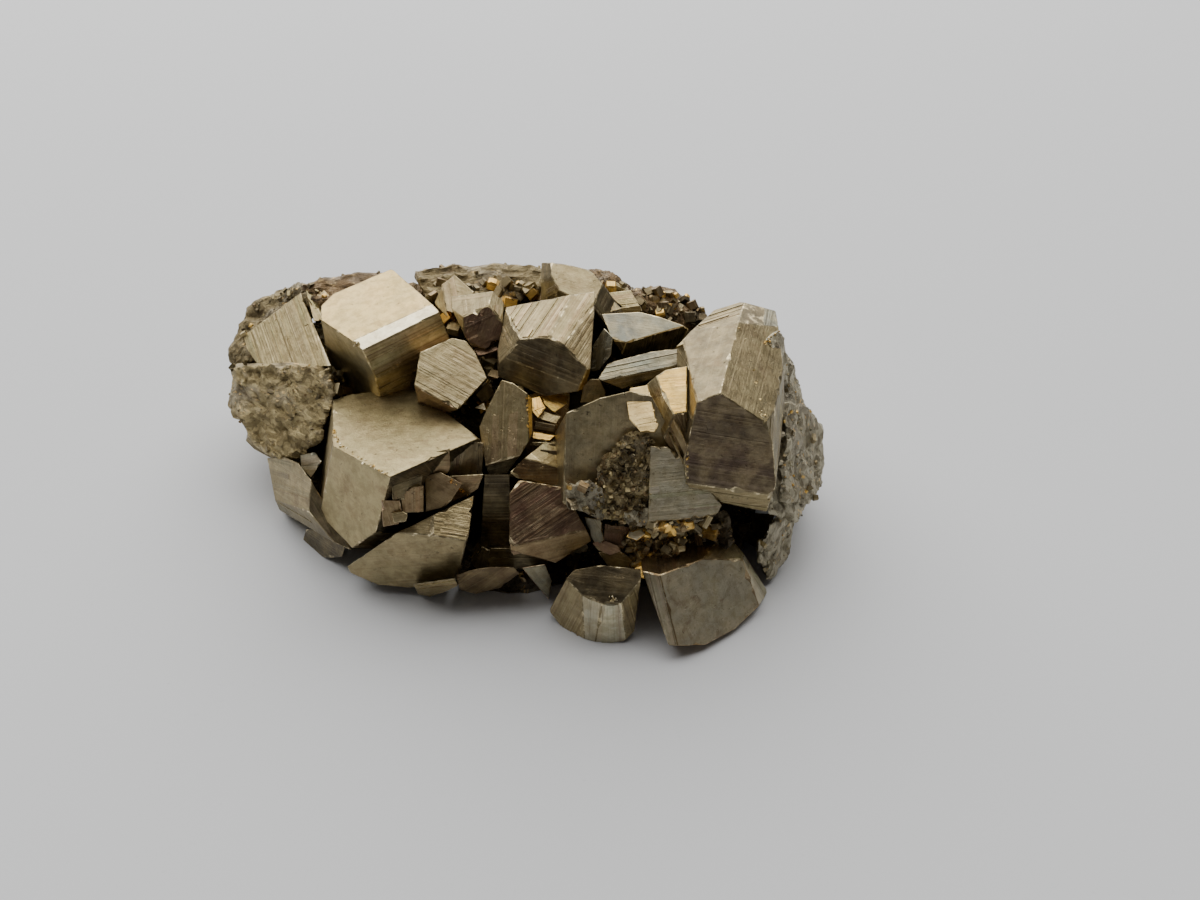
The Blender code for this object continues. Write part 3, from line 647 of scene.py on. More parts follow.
LARGE_CRYSTALS = [
    block("bright_block", (-42, 80), -6, [
        (352, 341, 14), (434, 303, HIDDEN), (413, 269, HIDDEN), (398, 266, HIDDEN),
        (333, 294, HIDDEN), (321, 306, 80), (321, 320, 90)],
        depth=18, cuts=[(1, (359, 352), (440, 312), 62), (8, (364, 381), (450, 338), 24),
                        (8, (455, 333), (440, 312), HIDDEN)]),
    block("ribbed_wedge", (12, 58), 2, [
        (414, 385, HIDDEN), (420, 352, HIDDEN), (452, 338, HIDDEN), (466, 341, HIDDEN),
        (475, 352, HIDDEN), (487, 378, HIDDEN), (458, 410, 90)], depth=14),
    block("broad_shield", (-178, 83), 4, [
        (333, 400, HIDDEN), (352, 394, HIDDEN), (412, 388, HIDDEN), (447, 407, 40),
        (470, 431, HIDDEN), (479, 438, 112), (390, 477, 88), (333, 446, 75)],
        depth=24, cuts=[(7, (309, 503), (330, 448), 35), (7, (390, 477), (379, 530), 75, (350, 500)),
                        (7, (379, 530), (352, 548), 70), (7, (352, 548), (309, 503), 60)]),
    block("left_flat", (-48, 52), -16, [
        (303, 291, 15), (313, 322, HIDDEN), (332, 366, HIDDEN), (262, 370, HIDDEN),
        (247, 350, HIDDEN), (243, 336, HIDDEN)], depth=12),
    block("left_bevel", (-30, 62), -15, [
        (305, 288, HIDDEN), (318, 283, HIDDEN), (331, 296, HIDDEN), (322, 320, HIDDEN),
        (314, 322, HIDDEN)], depth=9),
    block("left_low", (-58, 22), -7, [
        (267, 458, HIDDEN), (285, 457, HIDDEN), (298, 463, HIDDEN), (311, 480, 50),
        (309, 512, 35), (275, 500, HIDDEN)], depth=16,
        cuts=[(5, (340, 546), (296, 520), HIDDEN)]),
    block("front_low_left", (-8, -6), 6, [
        (354, 549, 50), (388, 532, 62), (430, 535, 62), (466, 541, 75),
        (461, 566, HIDDEN), (457, 580, HIDDEN), (410, 588, 70), (378, 585, 60),
        (350, 573, HIDDEN), (344, 560, HIDDEN)], depth=16,
        cuts=[(3, (430, 516), (474, 495), HIDDEN)]),
    block("dark_column", (4, 12), -1, [
        (484, 474, HIDDEN), (510, 474, HIDDEN), (512, 552, 70), (490, 567, 60),
        (480, 545, HIDDEN)], depth=14),
    block("column_base", (8, 4), 2, [
        (490, 548, HIDDEN), (516, 548, HIDDEN), (549, 559, HIDDEN), (545, 571, 60),
        (488, 567, HIDDEN)], depth=14),
    block("speckled_slab", (-8, 36), 6, [
        (499, 379, HIDDEN), (513, 383, HIDDEN), (527, 393, 50), (529, 441, HIDDEN),
        (521, 455, 48), (485, 465, HIDDEN), (481, 440, HIDDEN), (479, 425, HIDDEN),
        (486, 411, HIDDEN), (492, 396, HIDDEN)], depth=15,
        cuts=[(3, (532, 393), (533, 441), HIDDEN), (5, (511, 474), (484, 475), HIDDEN)]),
    block("purple_striped", (3, 43), 10, [
        (519, 480, HIDDEN), (563, 487, HIDDEN), (587, 530, 32), (514, 546, 40),
        (509, 540, HIDDEN), (509, 494, HIDDEN)],
        depth=18, cuts=[(3, (592, 541), (556, 563), HIDDEN), (3, (556, 563), (510, 551), HIDDEN)]),
    block("brown_cap", (6, 33), 5, [
        (524, 458, 40), (541, 462, 45), (563, 469, HIDDEN), (563, 487, HIDDEN),
        (519, 479, 60), (510, 472, HIDDEN)], depth=14),
    block("central_block", (-14, 20), 3, [
        (520, 339, 60), (549, 337, 58), (563, 344, 58), (587, 370, 60), (577, 392, HIDDEN),
        (545, 397, HIDDEN), (497, 377, 60), (499, 365, 50), (508, 354, 42)], depth=20,
        cuts=[(0, (503, 357), (580, 386), 8), (2, (506, 302), (592, 292), HIDDEN),
              (4, (604, 310), (590, 372), HIDDEN), (1, (502, 322), (508, 300), HIDDEN),
              (9, (497, 330), (497, 366), HIDDEN)]),
    block("cap_crystal", (14, 62), -9, [
        (551, 262, HIDDEN), (570, 265, HIDDEN), (590, 270, HIDDEN), (603, 284, 40),
        (592, 306, 80), (560, 291, 62), (552, 277, 55)], depth=11,
        cuts=[(7, (541, 270), (540, 290), HIDDEN)]),
    block("amber_prism", (-2, 33), -4, [
        (463, 317, 50), (488, 305, 50), (503, 323, HIDDEN), (500, 340, HIDDEN),
        (486, 349, 60), (470, 345, HIDDEN), (464, 335, 50)], depth=15,
        cuts=[(1, (471, 294), (486, 292), HIDDEN), (2, (496, 294), (507, 306), HIDDEN),
              (7, (454, 323), (456, 333), HIDDEN)]),
    block("grey_roof", (22, 66), -3, [
        (602, 314, HIDDEN), (640, 312, HIDDEN), (660, 317, HIDDEN), (690, 328, HIDDEN),
        (684, 349, 80), (640, 345, 75), (625, 342, 28), (611, 337, HIDDEN),
        (606, 325, HIDDEN)], depth=14, cuts=[(7, (611, 351), (625, 343), 60)]),
    block("long_bar", (2, 60), 4, [
        (608, 363, HIDDEN), (650, 352, HIDDEN), (686, 347, HIDDEN), (690, 352, HIDDEN),
        (688, 363, 45), (602, 381, HIDDEN), (598, 379, HIDDEN)], depth=14,
        cuts=[(5, (650, 380), (606, 394), 60)]),
    block("gold_column", (5, 65), 15, [
        (653, 378, HIDDEN), (665, 370, HIDDEN), (687, 366, 75), (687, 412, 45),
        (671, 415, 50), (665, 399, 45)], depth=20,
        cuts=[(4, (697, 449), (684, 457), HIDDEN), (5, (667, 447), (656, 420), HIDDEN)]),
    block("middle_block", (3, 18), 14, [
        (566, 413, HIDDEN), (600, 398, HIDDEN), (630, 391, HIDDEN), (652, 396, HIDDEN),
        (684, 457, HIDDEN), (688, 489, HIDDEN), (684, 521, 82), (640, 523, 82),
        (600, 519, 82), (563, 504, 84)], depth=26),
    block("low_plate", (5, 24), 15, [
        (650, 446, HIDDEN), (668, 447, HIDDEN), (684, 459, HIDDEN), (722, 505, HIDDEN),
        (718, 513, 60), (700, 518, 70), (648, 522, HIDDEN)], depth=14),
    block("right_tower", (2, 16), 17, [
        (697, 402, 74), (720, 393, 62), (766, 423, 58), (773, 445, 70), (776, 485, 85),
        (768, 512, 70), (722, 503, 75), (687, 489, 85), (684, 459, 85)], depth=36,
        cuts=[(1, (741, 322), (698, 330), 12), (2, (757, 324), (741, 322), 14),
              (10, (691, 331), (714, 310), HIDDEN), (10, (714, 310), (740, 302), HIDDEN),
              (10, (740, 302), (752, 303), HIDDEN), (11, (761, 303), (776, 311), HIDDEN),
              (11, (776, 311), (780, 334), HIDDEN), (0, (686, 483), (772, 496), 14)]),
    block("bottom_ball", (-3, 46), 14, [
        (566, 579, 55), (582, 595, 48), (602, 604, 48), (621, 604, 56), (641, 580, HIDDEN),
        (641, 569, HIDDEN), (600, 565, HIDDEN), (574, 570, HIDDEN)], depth=24,
        cuts=[(1, (550, 598), (550, 612), HIDDEN), (1, (550, 612), (565, 632), HIDDEN),
              (2, (565, 632), (585, 642), HIDDEN), (3, (585, 642), (605, 645), HIDDEN),
              (3, (605, 645), (625, 641), HIDDEN), (4, (625, 641), (640, 625), HIDDEN)]),
    block("bottom_right", (38, 38), 9, [
        (660, 575, 60), (703, 559, 40), (743, 560, 36), (759, 606, HIDDEN),
        (735, 629, HIDDEN), (705, 645, HIDDEN), (678, 646, 50)], depth=24,
        cuts=[(7, (645, 580), (668, 644), HIDDEN), (2, (733, 540), (725, 536), HIDDEN),
              (3, (736, 541), (767, 590), HIDDEN)]),
]

BROKEN_STEPS = [
    block("step_back", (12, 12), 6, [
        (383, 500, HIDDEN), (392, 480, HIDDEN), (420, 461, HIDDEN), (448, 446, HIDDEN),
        (470, 441, HIDDEN), (484, 443, HIDDEN), (482, 478, HIDDEN), (470, 495, HIDDEN),
        (445, 508, HIDDEN), (399, 527, HIDDEN), (383, 527, HIDDEN)], depth=14),
    facet("step_dark", (30, 6), 8, [
        (448, 447), (470, 441), (484, 443), (482, 478), (460, 482), (449, 476)]),
    facet("step_plates", (5, 14), 12, [
        (420, 462), (432, 452), (450, 448), (451, 466), (448, 474), (424, 474)]),
    facet("step_slab", (-8, 20), 11, [
        (425, 476), (440, 472), (452, 478), (462, 484), (452, 500), (445, 507), (426, 512)]),
    facet("step_behind", (18, 4), 8, [
        (448, 476), (484, 474), (478, 490), (470, 494), (450, 506), (446, 500)]),
    facet("step_upper", (42, 12), 15, [
        (392, 480), (412, 473), (423, 476), (421, 488), (404, 500), (392, 500)]),
    facet("step_middle", (20, 14), 14, [
        (400, 494), (412, 487), (424, 485), (424, 512), (402, 513)]),
    facet("step_low", (8, 16), 14.5, [
        (381, 500), (400, 500), (402, 512), (399, 524), (383, 527)]),
    facet("step_chip", (-12, 24), 15, [
        (391, 513), (402, 511), (408, 514), (406, 522), (394, 523)]),
    block("stair_back", (0, 30), -2, [
        (527, 395, HIDDEN), (550, 388, HIDDEN), (570, 392, HIDDEN), (567, 450, HIDDEN),
        (563, 472, HIDDEN), (525, 458, HIDDEN)], depth=12),
    facet("stair_fan", (12, 64), 0, [
        (541, 396), (553, 391), (569, 396), (567, 404), (554, 413), (544, 404)]),
    facet("stair_left", (-20, 62), 1, [
        (530, 398), (540, 396), (546, 408), (538, 418), (531, 412)]),
    facet("stair_top", (8, 62), 1, [
        (536, 418), (544, 411), (563, 416), (556, 424)]),
    facet("stair_front", (-6, 12), 1, [
        (535, 421), (556, 425), (554, 433), (534, 429)]),
    facet("stair_ledge", (5, 66), 1.5, [
        (533, 431), (556, 435), (561, 430), (563, 440), (545, 441), (532, 438)]),
    facet("stair_low", (0, 28), 2, [
        (531, 440), (545, 442), (564, 442), (563, 450), (530, 446)]),
    facet("stair_base", (4, 22), 3, [
        (540, 449), (563, 451), (563, 470), (541, 462)]),
]

SMALL_FACETS = [
    facet("left_inner", (-12, 34), -10, [(336, 393), (329, 440), (292, 434), (293, 420)]),
    facet("low_left_back", (-8, 45), -1, [
        (330, 545), (352, 546), (379, 528), (440, 508), (474, 495), (470, 522), (430, 537),
        (388, 536), (350, 556)]),
    facet("hollow_glint", (2, 64), -3, [(474, 408), (484, 402), (487, 411)]),
    facet("left_blue", (-60, 35), -5, [(300, 455), (315, 452), (322, 462), (311, 478), (301, 468)]),
    facet("low_left_nub", (-45, 8), -8, [
        (306, 529), (325, 530), (345, 548), (342, 557), (328, 558), (314, 556), (304, 547),
        (303, 540)]),
    facet("tan_block", (-18, 60), -14, [(441, 285), (455, 275), (474, 292), (462, 316), (446, 311)]),
    facet("tan_side", (-48, 42), -15, [(424, 273), (448, 273), (442, 286), (448, 318), (436, 306)]),
    facet("prism_foot", (-5, 55), -5, [(474, 350), (497, 346), (499, 350), (484, 355), (478, 356)]),
    facet("flake_left", (-10, -22), 5, [
        (413, 584), (455, 578), (458, 586), (445, 592), (430, 597), (418, 594)]),
    facet("flake_right", (5, -16), 6, [
        (455, 576), (470, 570), (490, 567), (514, 567), (520, 573), (500, 588), (476, 594),
        (460, 590)]),
    facet("flake_small", (12, -6), 6, [(522, 568), (545, 564), (552, 580), (549, 600), (536, 585)]),
    facet("column_foot", (-20, 20), 2, [(470, 561), (481, 546), (495, 552), (490, 567), (476, 569)]),
    facet("roof_side", (-38, 32), -1, [
        (604, 328), (613, 337), (611, 355), (600, 370), (590, 372), (593, 345)], 12),
    facet("dark_gem", (-10, 20), 3, [
        (583, 386), (590, 379), (600, 379), (606, 392), (603, 402), (580, 403)], 12),
    facet("pale_plate", (4, 64), 18.3, [
        (626, 402), (630, 388), (648, 385), (651, 396), (658, 427), (655, 433), (641, 433),
        (629, 419)], 12),
    facet("top_brown", (20, 60), -14, [(606, 293), (631, 290), (641, 308), (622, 307)], 8),
    facet("top_brown_low", (24, 24), -13, [(618, 308), (640, 305), (643, 312), (624, 313)], 8),
    facet("top_brown_side", (-5, 62), -11, [(600, 296), (606, 293), (622, 309), (604, 314)], 8),
    facet("low_facet_left", (-14, 26), 9, [(583, 516), (601, 520), (604, 541), (597, 546), (590, 536)]),
    facet("low_facet_dark", (10, 28), 8, [(605, 524), (630, 527), (633, 546), (618, 549), (603, 541)]),
    facet("low_facet_tan", (-4, 52), 9, [
        (592, 543), (600, 538), (618, 545), (622, 552), (610, 556), (598, 550)]),
    facet("low_facet_red", (10, 22), 8, [(598, 552), (622, 552), (634, 560), (628, 571), (612, 572)]),
    facet("bright_bit", (10, 60), 11, [(629, 531), (641, 529), (646, 534), (637, 541), (626, 537)]),
    facet("gold_wedge", (0, 66), 10, [(636, 567), (648, 562), (656, 575), (650, 580), (630, 575)]),
    facet("hollow_face", (-40, 40), -6, [(735, 512), (775, 514), (770, 530), (756, 548), (742, 540)]),
]

CRUMBLED = [
    rubble("crumbled_corner", (5, 19), 14.25, [
        (604, 458), (622, 436), (642, 428), (652, 442), (651, 500), (644, 521), (608, 518), (594, 488)],
        4, roughness=0.35, grain=2.2, seed=21),
    rubble("crumbled_low", (0, 10), 14.6, [
        (566, 486), (590, 480), (606, 500), (604, 519), (566, 505)],
        4, roughness=0.5, grain=2.2, seed=22),
    rubble("crumbled_ledge", (2, 40), 13.0, [
        (618, 516), (640, 508), (700, 512), (712, 518), (690, 525), (628, 526)],
        5, roughness=0.5, grain=2.4, seed=23),
]

ROUGH_GROUND = [
    rubble("left_lobe", (-38, 28), -12, [
        (228, 398), (230, 376), (238, 367), (262, 364), (300, 364), (330, 368), (336, 392),
        (322, 440), (300, 455), (262, 455), (250, 437), (230, 416)], 13, seed=2),
    rubble("left_neck", (-38, 42), -17, [
        (231, 350), (262, 340), (312, 345), (338, 372), (338, 396), (300, 392), (236, 388)],
        13, roughness=0.8, seed=13),
    rubble("hollow_floor", (0, 45), -9, [
        (440, 400), (470, 385), (500, 395), (490, 440), (455, 440)], 10, roughness=0.8, seed=14),
    rubble("left_rim", (-40, 55), -22, [
        (228, 354), (232, 345), (250, 308), (262, 300), (282, 289), (300, 282), (320, 290),
        (310, 330), (262, 360), (240, 366)], 10, seed=3),
    rubble("top_left_rim", (-10, 70), -16, [
        (300, 282), (330, 279), (375, 273), (400, 278), (370, 300), (320, 310)], 12,
        roughness=0.8, seed=4),
    rubble("top_rim", (-8, 66), -19, [
        (415, 271), (445, 266), (480, 263), (520, 267), (548, 269), (554, 284), (532, 294),
        (488, 302), (450, 303), (425, 298)], 13, roughness=0.75, grain=5.5, seed=5),
    rubble("top_right_rim", (20, 60), -18, [
        (585, 270), (608, 272), (620, 279), (632, 288), (628, 300), (600, 300), (580, 290)],
        10, seed=6),
    rubble("rear_stub", (10, 62), -22, [
        (628, 292), (650, 289), (668, 291), (676, 297), (679, 310), (676, 325), (640, 320),
        (630, 308)], 13, roughness=0.75, seed=7),
    rubble("right_rough", (52, 26), 2, [
        (764, 345), (779, 331), (790, 360), (800, 385), (808, 412), (816, 440), (818, 470),
        (814, 492), (795, 520), (768, 516), (764, 430)], 14, seed=8),
    rubble("right_spur", (56, 24), 1, [
        (782, 402), (806, 405), (823, 431), (821, 486), (806, 504), (780, 502)],
        8, roughness=0.5, seed=9),
    rubble("right_leg", (48, 10), 0, [
        (771, 522), (783, 512), (797, 512), (790, 548), (768, 581), (757, 562), (758, 545)],
        12, roughness=0.8, seed=10),
    rubble("gravel", (0, 32), 8, [
        (636, 520), (690, 520), (684, 545), (668, 565), (655, 576), (634, 568), (626, 545)],
        8, cell=3.0, roughness=0.7, grain=2.6, seed=11),
    rubble("under_tower", (-10, 20), 4, [
        (680, 520), (725, 512), (735, 545), (705, 562), (665, 572), (662, 556)], 14, seed=12),
]

# Which way the grain of the broken ground runs, across and down the view, and how far it is drawn out.
FLOWS = {
    "left_lobe": (1.0, 0.30, 0.90), "left_neck": (1.0, 0.05, 0.92), "left_rim": (0.7, -0.5, 0.6),
    "top_left_rim": (1.0, -0.2, 0.6), "top_rim": (1.0, 0.0, 0.6), "right_rough": (0.15, 1.0, 0.5),
    "right_spur": (0.3, 1.0, 0.5), "right_leg": (-0.4, 1.0, 0.5),
}

# Tints of the broken ground. The dark tint of the hollow floor and of the ground under the tower, like that
# of the heart, is painted shade for the hollows.
GROUND_TINTS = {
    "left_lobe": "tan", "left_neck": "tan", "left_rim": "olive", "top_left_rim": "brown",
    "top_rim": "olive", "top_right_rim": "brown", "rear_stub": "brown", "right_rough": "pale",
    "right_spur": "pale", "right_leg": "pale", "gravel": "tan", "under_tower": "dark",
    "hollow_floor": "dark", "crumbled_corner": "cream", "crumbled_low": "pale", "crumbled_ledge": "pale",
}

BACK_CRYSTALS = [
    free_block("back_a", (-27, 41, 21), (17, 14, 16), (165, 35), 20),
    free_block("back_b", (-8, 43, 15), (15, 16, 14), (-170, 20), 50),
    free_block("back_c", (10, 39, 25), (18, 15, 15), (175, 45), 10),
    free_block("back_d", (28, 36, 13), (16, 14, 17), (150, 30), 35),
    free_block("back_e", (44, 24, 18), (13, 12, 14), (125, 35), 60),
    free_block("back_low_a", (-21, 43, 7), (13, 12, 12), (180, 5), 30),
    free_block("back_low_b", (13, 43, 7), (14, 13, 11), (160, 0), 70),
    free_block("end_left", (-52, 24, 10), (13, 12, 11), (-110, 20), 25),
    free_block("end_left_low", (-47, 14, 6), (11, 10, 10), (-80, 5), 55),
    free_block("end_right", (50, 16, 13), (12, 12, 12), (100, 15), 40),
    free_block("foot_right", (40, 30, 6), (12, 11, 11), (130, 5), 15),
]

# Rough rocks behind the rims: centre, size, the way each looks, its tint.
BACK_ROCKS = [
    ((-41, 28, 18), (26, 27, 22), (-40, 50), "olive"),
    ((-24, 38, 27), (24, 15, 12), (170, 30), "brown"),
    ((2, 39, 29), (30, 15, 13), (180, 40), "olive"),
    ((26, 37, 27), (22, 14, 13), (165, 35), "brown"),
]

# Where the view shows grains: a patch in pixels, how many are tried, their sizes in millimetres, their tints.
# The grains' tints are mostly dark, as painted shade for the hollows they lie in; the gold grains paint
# glints.
GRAIN_TINTS = ("moss", "dark", "brown", "olive", "dark", "moss", "tan", "dark", "gold")
GRAVEL_TINTS = ("moss", "tan", "olive", "brown", "gold", "dark", "cream", "olive")
GRAIN_PATCHES = [
    (660, 520, 705, 590, 260, 0.5, 1.8, GRAVEL_TINTS),
    (625, 524, 662, 585, 260, 0.5, 1.6, GRAVEL_TINTS),
    (335, 300, 585, 600, 1300, 0.7, 3.8, GRAIN_TINTS),
    (585, 300, 765, 420, 300, 0.6, 2.2, GRAIN_TINTS),
    (585, 420, 665, 525, 500, 0.25, 0.9, ("dark", "moss", "olive", "tan", "brown")),
    (665, 420, 765, 600, 200, 0.6, 2.6, GRAIN_TINTS),
    (430, 282, 690, 325, 220, 0.5, 2.4, GRAIN_TINTS),
    (240, 290, 335, 366, 120, 0.3, 1.0, GRAIN_TINTS),
    (765, 330, 812, 580, 120, 0.2, 0.6, ("gold", "moss", "grey", "grey")),
]

# Bright chips that paint highlights and glints along the edges: from pixel to pixel, how many, their tints.
EDGE_GLINTS = [
    ((333, 430), (342, 447), 26, ("white", "butter", "gold")),
    ((342, 447), (390, 477), 40, ("white", "butter", "gold", "cream")),
    ((611, 597), (620, 604), 10, ("white", "cream")),
    ((760, 414), (767, 421), 10, ("white", "cream")),
    ((741, 324), (766, 421), 14, ("cream", "butter")),
    ((527, 395), (530, 440), 16, ("gold", "butter")),
    ((352, 341), (360, 352), 8, ("white", "butter")),
    ((764, 345), (779, 331), 14, ("butter", "gold")),
    ((450, 480), (474, 500), 18, ("orange", "gold")),
    ((688, 452), (688, 489), 10, ("cream", "gold")),
]

# How the faces look: tint, strength of the grooves, mottling, and two pixels that the grooves run between.
# The tints give the faces their own tarnish colours and also painted light: dark and umber tints paint shade
# on faces turned from the light, while white, cream, butter and gold tints paint highlights on faces that
# catch it.
# Face 0 is the main face, face n the nth side, and later numbers are the cuts.
FINISHES = {
    "bright_block": {
        0: ("butter", 0.10, 0.45, (352, 341), (434, 303)), 1: ("white", 0.2, 0.0, (352, 341), (434, 303)),
        8: ("cream", 1.0, 0.3, (359, 352), (440, 312)), 9: ("tan", 0.9, 0.3, (364, 381), (450, 338)),
        "other": ("tan", 0.12, 0.4)},
    "ribbed_wedge": {0: ("olive", 0.9, 0.3, (424, 363), (478, 393)), "other": ("purple", 0.6, 0.3)},
    "broad_shield": {
        0: ("tan", 0.06, 0.9, (350, 425), (415, 410)), 7: ("tan", 0.06, 0.8, (309, 503), (352, 548)),
        8: ("tan", 0.4, 0.5, (333, 400), (309, 503)), 9: ("pale", 0.8, 0.3, (330, 448), (309, 503)),
        6: ("dark", 0.6, 0.5), "other": ("olive", 0.4, 0.6)},
    "left_flat": {0: ("tan", 0.9, 0.4, (303, 291), (332, 366)), 1: ("pale", 0.8, 0.3, (303, 291), (332, 366)),
                  "other": ("olive", 0.6, 0.4)},
    "left_bevel": {0: ("tan", 0.7, 0.4, (305, 288), (322, 320)), "other": ("olive", 0.6, 0.4)},
    "left_low": {0: ("olive", 0.6, 0.6), "other": ("moss", 0.5, 0.5)},
    "front_low_left": {
        0: ("olive", 0.25, 0.5, (354, 549), (466, 541)), 1: ("olive", 1.0, 0.4, (354, 549), (466, 541)),
        2: ("olive", 1.0, 0.4, (388, 532), (430, 535)), 3: ("tan", 1.0, 0.4, (430, 535), (466, 541)),
        4: ("dark", 0.5, 0.5), "other": ("moss", 0.6, 0.4)},
    "dark_column": {0: ("dark", 0.7, 0.4, (480, 513), (512, 513)), "other": ("moss", 0.6, 0.4)},
    "column_base": {0: ("dark", 0.7, 0.4, (480, 553), (512, 553)), "other": ("moss", 0.6, 0.4)},
    "speckled_slab": {0: ("cream", 0.5, 1.0, (503, 385), (500, 460)), 3: ("gold", 0.9, 0.3),
                      5: ("dark", 0.7, 0.5), "other": ("olive", 0.7, 0.4)},
    "purple_striped": {0: ("purple", 1.0, 0.3, (563, 487), (514, 520)), 3: ("brown", 0.7, 0.4),
                       "other": ("brown", 0.8, 0.3)},
    "brown_cap": {0: ("brown", 0.7, 0.5), "other": ("tan", 0.6, 0.4)},
    "central_block": {
        0: ("dark", 0.6, 0.5, (505, 358), (578, 387)), 10: ("dark", 0.6, 0.5, (505, 358), (578, 387)),
        1: ("olive", 1.0, 0.4, (550, 338), (575, 300)), 2: ("olive", 1.0, 0.4, (550, 338), (575, 300)),
        3: ("olive", 1.0, 0.4, (550, 338), (575, 300)), 4: ("gold", 0.7, 0.5), "other": ("moss", 0.7, 0.5)},
    "cap_crystal": {0: ("olive", 0.25, 0.6), "other": ("moss", 0.5, 0.4)},
    "amber_prism": {0: ("purple", 0.5, 0.4), "other": ("olive", 0.7, 0.4)},
    "grey_roof": {0: ("slate", 0.2, 0.2), 8: ("cream", 0.3, 0.1), "other": ("dark", 0.8, 0.5)},
    "long_bar": {0: ("grey", 0.9, 0.2, (608, 363), (686, 347)), "other": ("dark", 0.7, 0.4)},
    "gold_column": {0: ("gold", 0.45, 0.0, (660, 380), (684, 378)), 4: ("brown", 0.7, 0.3),
                    "other": ("olive", 0.7, 0.3)},
    "middle_block": {0: ("moss", 0.3, 1.0, (566, 413), (563, 504)), "other": ("olive", 0.4, 0.8)},
    "low_plate": {0: ("pale", 0.6, 0.6, (650, 515), (720, 508)), "other": ("moss", 0.7, 0.5)},
    "right_tower": {
        0: ("umber", 0.35, 0.4, (686, 483), (772, 496)), 1: ("moss", 0.20, 0.5, (741, 322), (720, 393)),
        2: ("olive", 0.22, 0.7, (741, 322), (720, 393)),
        10: ("olive", 0.7, 0.4, (697, 330), (752, 312)), 11: ("grey", 0.5, 0.3), 17: ("olive", 0.7, 0.5),
        "other": ("moss", 0.5, 0.5)},
    "bottom_ball": {
        0: ("dark", 0.5, 0.7), 1: ("olive", 0.9, 0.3, (575, 590), (560, 620)),
        2: ("pale", 0.9, 0.3, (592, 606), (590, 640)), 3: ("pale", 0.9, 0.3, (610, 606), (612, 642)),
        4: ("olive", 0.9, 0.3, (628, 600), (636, 625)), "other": ("moss", 0.5, 0.3)},
    "bottom_right": {0: ("pale", 0.12, 1.0), 7: ("pale", 1.0, 0.3, (650, 571), (668, 644)),
                     2: ("tan", 0.6, 0.5), 3: ("pale", 0.6, 0.4), "other": ("brown", 0.6, 0.4)},
    "pale_plate": {0: ("butter", 0.35, 0.4, (629, 405), (655, 400)), "other": ("olive", 0.5, 0.3)},
    "bright_bit": {0: ("white", 0.4, 0.2), "other": ("gold", 0.4, 0.2)},
    "gold_wedge": {0: ("gold", 0.4, 0.2), "other": ("gold", 0.4, 0.2)},
    "hollow_glint": {0: ("white", 0.2, 0.1), "other": ("gold", 0.4, 0.2)},
    "stair_fan": {0: ("gold", 1.0, 0.2, (541, 396), (560, 404)), "other": ("gold", 0.8, 0.2)},
    "stair_left": {0: ("gold", 1.0, 0.2), "other": ("gold", 0.8, 0.2)},
    "stair_top": {0: ("tan", 0.8, 0.3), "other": ("brown", 0.8, 0.3)},
    "stair_front": {0: ("dark", 0.6, 0.6), "other": ("brown", 0.8, 0.3)},
    "stair_ledge": {0: ("gold", 0.9, 0.2), "other": ("gold", 0.8, 0.2)},
    "stair_back": {0: ("brown", 0.9, 0.4), "other": ("gold", 0.8, 0.2)},
    "step_back": {0: ("dark", 0.8, 0.6), "other": ("dark", 0.8, 0.5)},
    "step_dark": {0: ("dark", 0.7, 0.5), "other": ("dark", 0.8, 0.5)},
    "left_inner": {0: ("purple", 0.6, 0.4), "other": ("brown", 0.8, 0.5)},
    "left_blue": {0: ("pale", 1.0, 0.3), "other": ("grey", 0.8, 0.5)},
    "dark_gem": {0: ("dark", 0.5, 0.4), "other": ("dark", 0.8, 0.5)},
    "low_left_back": {0: ("dark", 0.8, 0.5), "other": ("dark", 0.8, 0.5)},
}
MIXED_TINTS = ("olive", "moss", "grey", "brown", "olive", "tan", "moss", "dark", "purple")


class SpecimenLook(bpy.types.PropertyGroup):
    """The sizes and colours of the specimen and its stage."""

    edge_width: FloatProperty(
        name="Edge width", description="Width of the bevel on the crystals' edges",
        default=0.13 * MM, min=0.02 * MM, max=1 * MM, unit="LENGTH")
    ground_cell: FloatProperty(
        name="Ground cell", description="Size of the finest cells of the rough ground",
        default=0.7 * MM, min=0.3 * MM, max=3 * MM, unit="LENGTH")
    loose_grains: IntProperty(
        name="Loose grains", description="How many grains are tried over all of the ground",
        default=500, min=0, max=5000, subtype="UNSIGNED")
    gold: FloatVectorProperty(
        name="Gold", description="Colour of the bright brassy glints",
        default=(0.86, 0.62, 0.28), min=0, max=1, subtype="COLOR")
    tarnish: FloatVectorProperty(
        name="Tarnish", description="Colour of the rusty brown tarnish",
        default=(0.17, 0.10, 0.055), min=0, max=1, subtype="COLOR")
    pale: FloatVectorProperty(
        name="Pale ground", description="Colour of the paler rough ground",
        default=(0.46, 0.42, 0.34), min=0, max=1, subtype="COLOR")
    floor: FloatVectorProperty(
        name="Floor", description="Colour of the floor",
        default=(0.64, 0.655, 0.68), min=0, max=1, subtype="COLOR")
    light: FloatProperty(
        name="Light", description="Strength of the softbox over the specimen",
        default=60.0, min=0, max=500, unit="POWER")


def joined(blocks, name, material):
    """All the blocks as one piece with one material."""
    pick(*blocks)
    if len(blocks) > 1:
        bpy.ops.object.join()
    piece = bpy.context.object
    piece.name = name
    piece.data.name = name
    piece.data.materials.clear()
    piece.data.materials.append(material)
    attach(piece, "root")
    return piece


def mixed_finish(draw):
    """A finish for a crystal that has none of its own."""
    return {
        face: (draw.choice(MIXED_TINTS), draw.uniform(0.3, 0.9), draw.uniform(0.2, 0.7))
        for face in ("other", 0)
    }


